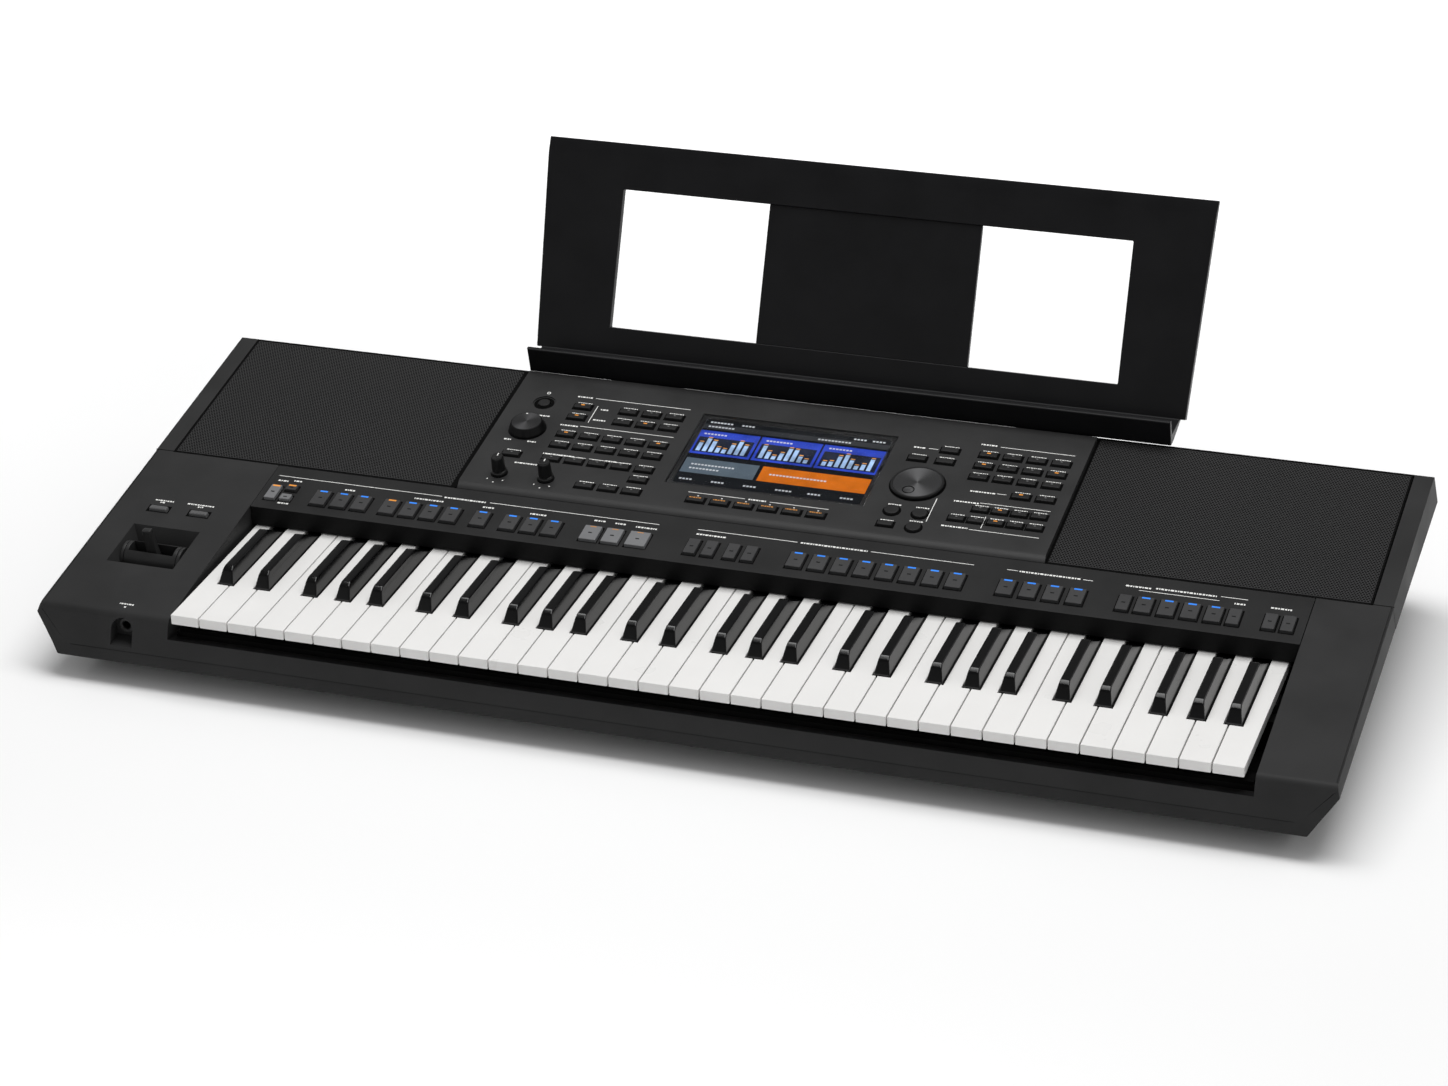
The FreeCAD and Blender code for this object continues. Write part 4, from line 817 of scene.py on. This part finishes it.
live_knobs = {node: wheel_of(node) for node in ("left_live_knob", "right_live_knob")}
live_pointer_wide = 0.8 * MM
knob_dots = []
for node, knob in live_knobs.items():
    rise = knob.high - knob.low
    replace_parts(turning(node + "_turning", node, knob_black,
                        [(0, knob.low), (0.98, knob.low), (1, knob.low + 0.03 * rise),
                         (1, knob.low + 0.12 * rise), (0.94, knob.low + 0.17 * rise),
                         (0.83, knob.low + 0.2 * rise), (0.85, knob.low + 0.24 * rise),
                         (0.76, knob.high - 0.12 * rise), (0.72, knob.high - 0.03 * rise),
                         (0.64, knob.high), (0, knob.high)], knob, 48), node)
    tags(node + "_pointer", node, print_white,
         [((knob.x, knob.y + 0.34 * knob.reach, knob.high - pointer_sink),
           (live_pointer_wide, 0.5 * knob.reach))])
    knob_dots += [((knob.x + across * MM, knob.y + back * MM, panel_top), dot)
                  for across, back in ((-6.8, -9.0), (-0.6, -12.6), (6.2, -9.2))]
tags("live_knob_dots", "keyboard_body", print_white, knob_dots)
foot_overlap = 1 * MM
knob_shade_rim = 0.9 * MM
# Black rings of painted shade round the feet of the knobs
rings("knob_gap_shades", painted_shade_seam_bezel_black,
      [(knob.x, knob.y, 2 * knob.reach - foot_overlap, 0, panel_top + ring_lift, knob_shade_rim, True)
       for knob in (volume, *live_knobs.values())])

# Data dial: a black rim, a spun face with painted highlight fans and its finger dimple, a black ring of painted
# shade round the dimple, and one for the groove that it turns in
dial = wheel_of("data_dial")
dimple = Vector((dial.x - 4.2 * MM, dial.y - 10.9 * MM, 0))
dimple_reach = 4.4 * MM
face_share = 0.9
face_up = dial.high - 0.12 * MM
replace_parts(turning("data_dial_rim", "data_dial", knob_black,
                    [(0.7, dial.low), (1, dial.low), (1, dial.high - 0.6 * MM), (0.97, dial.high),
                     (face_share + 0.01, dial.high), (face_share, face_up - 0.15 * MM),
                     (0.7, face_up - 0.3 * MM), (0.7, dial.low)], dial, 96), "data_dial")
bm = bmesh.new()


def circle(radius, centre, up, filled=False):
    """A level circle of edges, or of one face."""
    place = Matrix.Translation((centre.x, centre.y, up))
    drawn = bmesh.ops.create_circle(bm, cap_ends=filled, segments=96, radius=radius, matrix=place)
    return edges_of(drawn["verts"])


dial_edge = circle(face_share * dial.reach, Vector((dial.x, dial.y)), face_up)
dimple_edge = circle(dimple_reach, dimple, face_up)
dimple_side = circle(dimple_reach - 0.5 * MM, dimple, face_up - 0.55 * MM)
dimple_floor = circle(0.45 * dimple_reach, dimple, face_up - 0.9 * MM, filled=True)
for outer, inner in ((dial_edge, dimple_edge), (dimple_edge, dimple_side), (dimple_side, dimple_floor)):
    bmesh.ops.bridge_loops(bm, edges=outer + inner)
bmesh.ops.recalc_face_normals(bm, faces=bm.faces[:])
if sum(face.normal.z * face.calc_area() for face in bm.faces) < 0:
    bmesh.ops.reverse_faces(bm, faces=bm.faces[:])
face_sheet = 0.25 * MM
bmesh.ops.solidify(bm, geom=bm.faces[:], thickness=face_sheet)
bm.transform(deck)
# The dial's spun face carries painted highlight fans in its colour
dial_spun_painted_fans = spun_metal_painted_fans("dial_spun_painted_fans", (0.04, 0.04, 0.041), Vector((dial.x, dial.y, 0)), 104)
made(bm, "data_dial_face", "data_dial", dial_spun_painted_fans)
dimple_overlap = 0.4 * MM
dimple_lift = 0.03 * MM
dimple_shade_rim = 0.7 * MM
groove_shade_rim = 1.7 * MM
# Black rings of painted shade: round the edge of the finger dimple, and for the groove round the dial
rings("data_dial_dimple_shade", painted_shade_seam_bezel_black,
      [(dimple.x, dimple.y, 2 * dimple_reach - dimple_overlap, 0, face_up + dimple_lift, dimple_shade_rim, True)],
      "data_dial")
rings("dial_groove_shade", painted_shade_seam_bezel_black,
      [(dial.x, dial.y, 2 * dial.reach - foot_overlap, 0, panel_top + ring_lift, groove_shade_rim, True)])

# Joystick, and the bosses that its barrel turns between
softened("joystick_cradle", 0.4 * MM, 2, stick_black, shortest=2.5)
softened("joystick_lever", 0.8 * MM, 3, stick_black, shortest=2.0)
barrel_low, barrel_high = deck_box("joystick_cradle")
barrel = (barrel_low + barrel_high) / 2
barrel_reach = 13.0 * MM
barrel.z = barrel_high.z - barrel_reach
boss_start = 22.5 * MM
boss_thick = 2.6 * MM
boss_rim = 0.5 * MM
bm = bmesh.new()
for side in (-1, 1):
    place = Matrix.Translation(barrel + Vector((side * (boss_start + boss_thick / 2), 0, 0)))
    disc = bmesh.ops.create_cone(bm, cap_ends=True, segments=64, radius1=barrel_reach,
                                 radius2=barrel_reach, depth=boss_thick,
                                 matrix=place @ Matrix.Rotation(math.pi / 2, 4, "Y"))
    rims = [edge for edge in edges_of(disc["verts"])
            if abs(edge.verts[0].co.x - edge.verts[1].co.x) < level_slack]
    soften(bm, rims, boss_rim, 2)
bm.transform(deck)
made(bm, "joystick_bosses", "keyboard_body", stick_black)

# Display
glass_low, glass_high = deck_box("display_window")
softened("display_window", 0.3 * MM, 2, clear_glass("display_glass"))
screen_up = deck_box("lcd_module")[1].z + 0.1 * MM
screen_edge = 3.2 * MM
screen_wide = glass_high.x - glass_low.x - 2 * screen_edge
screen_long = glass_high.y - glass_low.y - 2 * screen_edge


def screen_tiles(name, finish, rows, lift):
    """Lit tiles of the display's picture: each is left, right, front, back as shares of the screen."""
    marks = []
    for left, right, front, back in rows:
        place = (glass_low.x + screen_edge + (left + right) / 2 * screen_wide,
                 glass_low.y + screen_edge + (front + back) / 2 * screen_long, screen_up + lift)
        marks.append((place, ((right - left) * screen_wide, (back - front) * screen_long)))
    tags(name, "keyboard_body", finish, marks, 0.02 * MM)


rings("display_surround", painted_shade_seam_bezel_black,
      [((glass_low.x + glass_high.x) / 2, (glass_low.y + glass_high.y) / 2, screen_wide, screen_long,
        screen_up, screen_edge - 0.3 * MM, False)])
screen_tiles("screen_ground", lit("screen_dark", (0.005, 0.006, 0.008)), [(0, 1, 0, 1)], 0)
screen_tiles("screen_header", lit("screen_slate", (0.03, 0.032, 0.036)), [(0, 1, 0.86, 0.93)], 0.1 * MM)
screen_tiles("screen_blue", lit("screen_blue", (0.025, 0.06, 0.5), vary=0.3),
             [(0.0, 0.325, 0.47, 0.83), (0.335, 0.66, 0.47, 0.83), (0.67, 1.0, 0.47, 0.83)], 0.1 * MM)
screen_tiles("screen_pictures", lit("screen_night", (0.008, 0.012, 0.03), vary=0.6),
             [(0.015, 0.31, 0.5, 0.73), (0.35, 0.645, 0.5, 0.73), (0.685, 0.985, 0.5, 0.73)], 0.15 * MM)
screen_tiles("screen_orange", lit("screen_orange", (0.6, 0.14, 0.006), vary=0.2),
             [(0.42, 0.99, 0.18, 0.4)], 0.1 * MM)
screen_tiles("screen_steel", lit("screen_steel", (0.09, 0.12, 0.15)), [(0.01, 0.4, 0.18, 0.4)], 0.1 * MM)
bars = []
for tile, left in enumerate((0.03, 0.365, 0.7)):
    for bar in range(8):
        rise = 0.05 + 0.075 * (1 + math.sin(1.3 * bar + 2.1 * tile))
        bars.append((left + 0.034 * bar, left + 0.034 * bar + 0.022, 0.515, 0.515 + rise))
screen_tiles("screen_bars", lit("screen_pale", (0.35, 0.5, 0.75), vary=0.5), bars, 0.2 * MM)
screen_tiles("screen_warm_bars", lit("screen_amber", (0.8, 0.35, 0.08), vary=0.4),
             [(left, right, back + 0.012, back + 0.024) for left, right, front, back in bars], 0.2 * MM)
screen_words = ((0.03, 0.14, 0.96), (0.2, 0.26, 0.96), (0.8, 0.86, 0.96), (0.9, 0.97, 0.96),
                (0.03, 0.17, 0.895), (0.62, 0.8, 0.895), (0.03, 0.15, 0.78), (0.365, 0.5, 0.78),
                (0.7, 0.82, 0.78), (0.05, 0.28, 0.31), (0.05, 0.2, 0.25), (0.47, 0.76, 0.29),
                (0.03, 0.09, 0.08), (0.2, 0.27, 0.08), (0.37, 0.43, 0.08), (0.54, 0.62, 0.08),
                (0.71, 0.77, 0.08), (0.88, 0.95, 0.08))
letters = []
for left, right, middle in screen_words:
    while left < right:
        letters.append((left, left + 0.012, middle - 0.01, middle + 0.01))
        left += 0.018
screen_tiles("screen_words", lit("screen_white", (0.6, 0.62, 0.65)), letters, 0.2 * MM)

# The plug ring in front of the phones jack
jack_low, jack_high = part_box("phones_jack")
jack_face = Vector(((jack_low.x + jack_high.x) / 2, jack_low.y, (jack_low.z + jack_high.z) / 2))
ring_profile = ((3.4, 0), (6.2, 0), (6.2, 1.0), (5.7, 1.6), (3.9, 1.6), (3.4, 1.1), (3.4, 0))
bm = bmesh.new()
turned(bm, [(radius * MM, height * MM) for radius, height in ring_profile], Vector(), 48)
bm.transform(Matrix.Translation(jack_face) @ Matrix.Rotation(math.pi / 2, 4, "X"))
made(bm, "phones_plug_ring", "keyboard_body", stick_black)

# Small parts
for node, finish in (
        ("rear_case", case_black), ("lcd_module", socket_black), ("key_chassis", chassis_black),
        ("key_pivot_rod", steel),
        ("key_stop_felts", felt_black), ("key_contact_board", board_black),
        ("contact_rubbers", rubber_black),
        ("speaker_baskets", steel), ("speaker_cones", cone_paper), ("speaker_magnets", iron),
        ("main_board", board_green), ("button_board", board_green), ("panel_board", board_green),
        ("control_pots", steel), ("rear_sockets", socket_black), ("phones_jack", socket_black),
        ("rubber_feet", rubber_black), ("case_screws", steel)):
    frame["nodes"][node].data.materials.clear()
    frame["nodes"][node].data.materials.append(finish)

# Floor: white card, and brighter to the eye away from the object so that it meets the white walls
floor_half = 8
floor_tone = 0.92
floor_glow = 1.0
glow_start = 0.06
glow_end = 1.6
bm = bmesh.new()
bmesh.ops.create_grid(bm, x_segments=1, y_segments=1, size=floor_half,
                      matrix=Matrix.Translation((0, 0, cad_box[0][2])))
floor_mesh = bpy.data.meshes.new("floor")
bm.to_mesh(floor_mesh)
bm.free()
floor = bpy.data.objects.new("floor", floor_mesh)
bpy.context.scene.collection.objects.link(floor)
floor_finish, floor_tree, floor_shader = started("floor_white")
floor_shader.inputs["Base Color"].default_value = (floor_tone, floor_tone, floor_tone, 1)
floor_shader.inputs["Roughness"].default_value = 0.9
floor_shader.inputs["Specular IOR Level"].default_value = 0.0
floor_shader.inputs["Emission Color"].default_value = (1, 1, 1, 1)
floor_place = floor_tree.nodes.new("ShaderNodeTexCoord")
floor_split = floor_tree.nodes.new("ShaderNodeSeparateXYZ")
link(floor_tree, floor_place.outputs["Object"], floor_split.inputs["Vector"])
squares = []
for axis, reach in (("X", cad_box[1][0]), ("Y", cad_box[1][1])):
    out = sum_node(floor_tree, "ABSOLUTE", floor_split.outputs[axis], 0.0)
    gap = sum_node(floor_tree, "MAXIMUM", sum_node(floor_tree, "SUBTRACT", out, reach), 0.0)
    squares.append(sum_node(floor_tree, "MULTIPLY", gap, gap))
away = sum_node(floor_tree, "SQRT", sum_node(floor_tree, "ADD", squares[0], squares[1]), 0.0)
glow = floor_tree.nodes.new("ShaderNodeMapRange")
glow.interpolation_type = "SMOOTHSTEP"
glow.inputs["From Min"].default_value = glow_start
glow.inputs["From Max"].default_value = glow_end
glow.inputs["To Max"].default_value = floor_glow
link(floor_tree, away, glow.inputs["Value"])
seen = floor_tree.nodes.new("ShaderNodeLightPath")
lift = sum_node(floor_tree, "MULTIPLY", seen.outputs["Is Camera Ray"], glow.outputs["Result"])
link(floor_tree, lift, floor_shader.inputs["Emission Strength"])
floor_mesh.materials.append(floor_finish)

# Room: white walls and a dim ceiling to look at and to reflect, and a low even light from all round
room_light = 0.42
ceiling = 0.12
wall_end = math.radians(10)
ceiling_start = math.radians(28)
world = bpy.data.worlds.new("studio")
bpy.context.scene.world = world
world.use_nodes = True
sky = world.node_tree
sky.nodes.clear()
rays = sky.nodes.new("ShaderNodeLightPath")
mirrored = sum_node(sky, "MAXIMUM", rays.outputs["Is Glossy Ray"], rays.outputs["Is Transmission Ray"])
shown = sum_node(sky, "MAXIMUM", rays.outputs["Is Camera Ray"], mirrored)
heading = sky.nodes.new("ShaderNodeTexCoord")
heading_split = sky.nodes.new("ShaderNodeSeparateXYZ")
link(sky, heading.outputs["Generated"], heading_split.inputs["Vector"])
climb = sky.nodes.new("ShaderNodeMapRange")
climb.interpolation_type = "SMOOTHSTEP"
climb.inputs["From Min"].default_value = math.sin(wall_end)
climb.inputs["From Max"].default_value = math.sin(ceiling_start)
climb.inputs["To Min"].default_value = 1.0
climb.inputs["To Max"].default_value = ceiling
link(sky, heading_split.outputs["Z"], climb.inputs["Value"])
walls = sky.nodes.new("ShaderNodeBackground")
walls.inputs["Color"].default_value = (1, 1, 1, 1)
link(sky, sum_node(sky, "MAXIMUM", climb.outputs["Result"], rays.outputs["Is Camera Ray"]),
     walls.inputs["Strength"])
room = sky.nodes.new("ShaderNodeBackground")
room.inputs["Color"].default_value = (1, 1, 1, 1)
room.inputs["Strength"].default_value = room_light
choice = sky.nodes.new("ShaderNodeMixShader")
whole = sky.nodes.new("ShaderNodeOutputWorld")
link(sky, shown, choice.inputs[0])
link(sky, room.outputs["Background"], choice.inputs[1])
link(sky, walls.outputs["Background"], choice.inputs[2])
link(sky, choice.outputs["Shader"], whole.inputs["Surface"])


def softbox(name, place, aim, wide, high, watts):
    """A soft panel lamp turned towards a point."""
    lamp = bpy.data.lights.new(name, "AREA")
    lamp.shape = "RECTANGLE"
    lamp.size = wide
    lamp.size_y = high
    lamp.energy = watts
    holder = bpy.data.objects.new(name, lamp)
    holder.location = place
    holder.rotation_euler = (Vector(aim) - Vector(place)).to_track_quat("-Z", "Y").to_euler()
    bpy.context.scene.collection.objects.link(holder)


softbox("top_light", place=(0.05, 0.3, 2.2), aim=(0, 0, 0), wide=2.4, high=1.2, watts=44)

camera_place = (0.87766, -2.48298, 1.44262)
camera_turns = (62.243, 1.9605, 18.958)
camera = bpy.data.cameras.new("camera")
camera.lens = 95.53
camera.sensor_width = 36.0
camera.sensor_fit = "HORIZONTAL"
stand = bpy.data.objects.new("camera", camera)
stand.location = camera_place
stand.rotation_euler = Euler([math.radians(turn) for turn in camera_turns])
bpy.context.scene.collection.objects.link(stand)
bpy.context.scene.camera = stand
bpy.context.scene.view_settings.view_transform = "Standard"
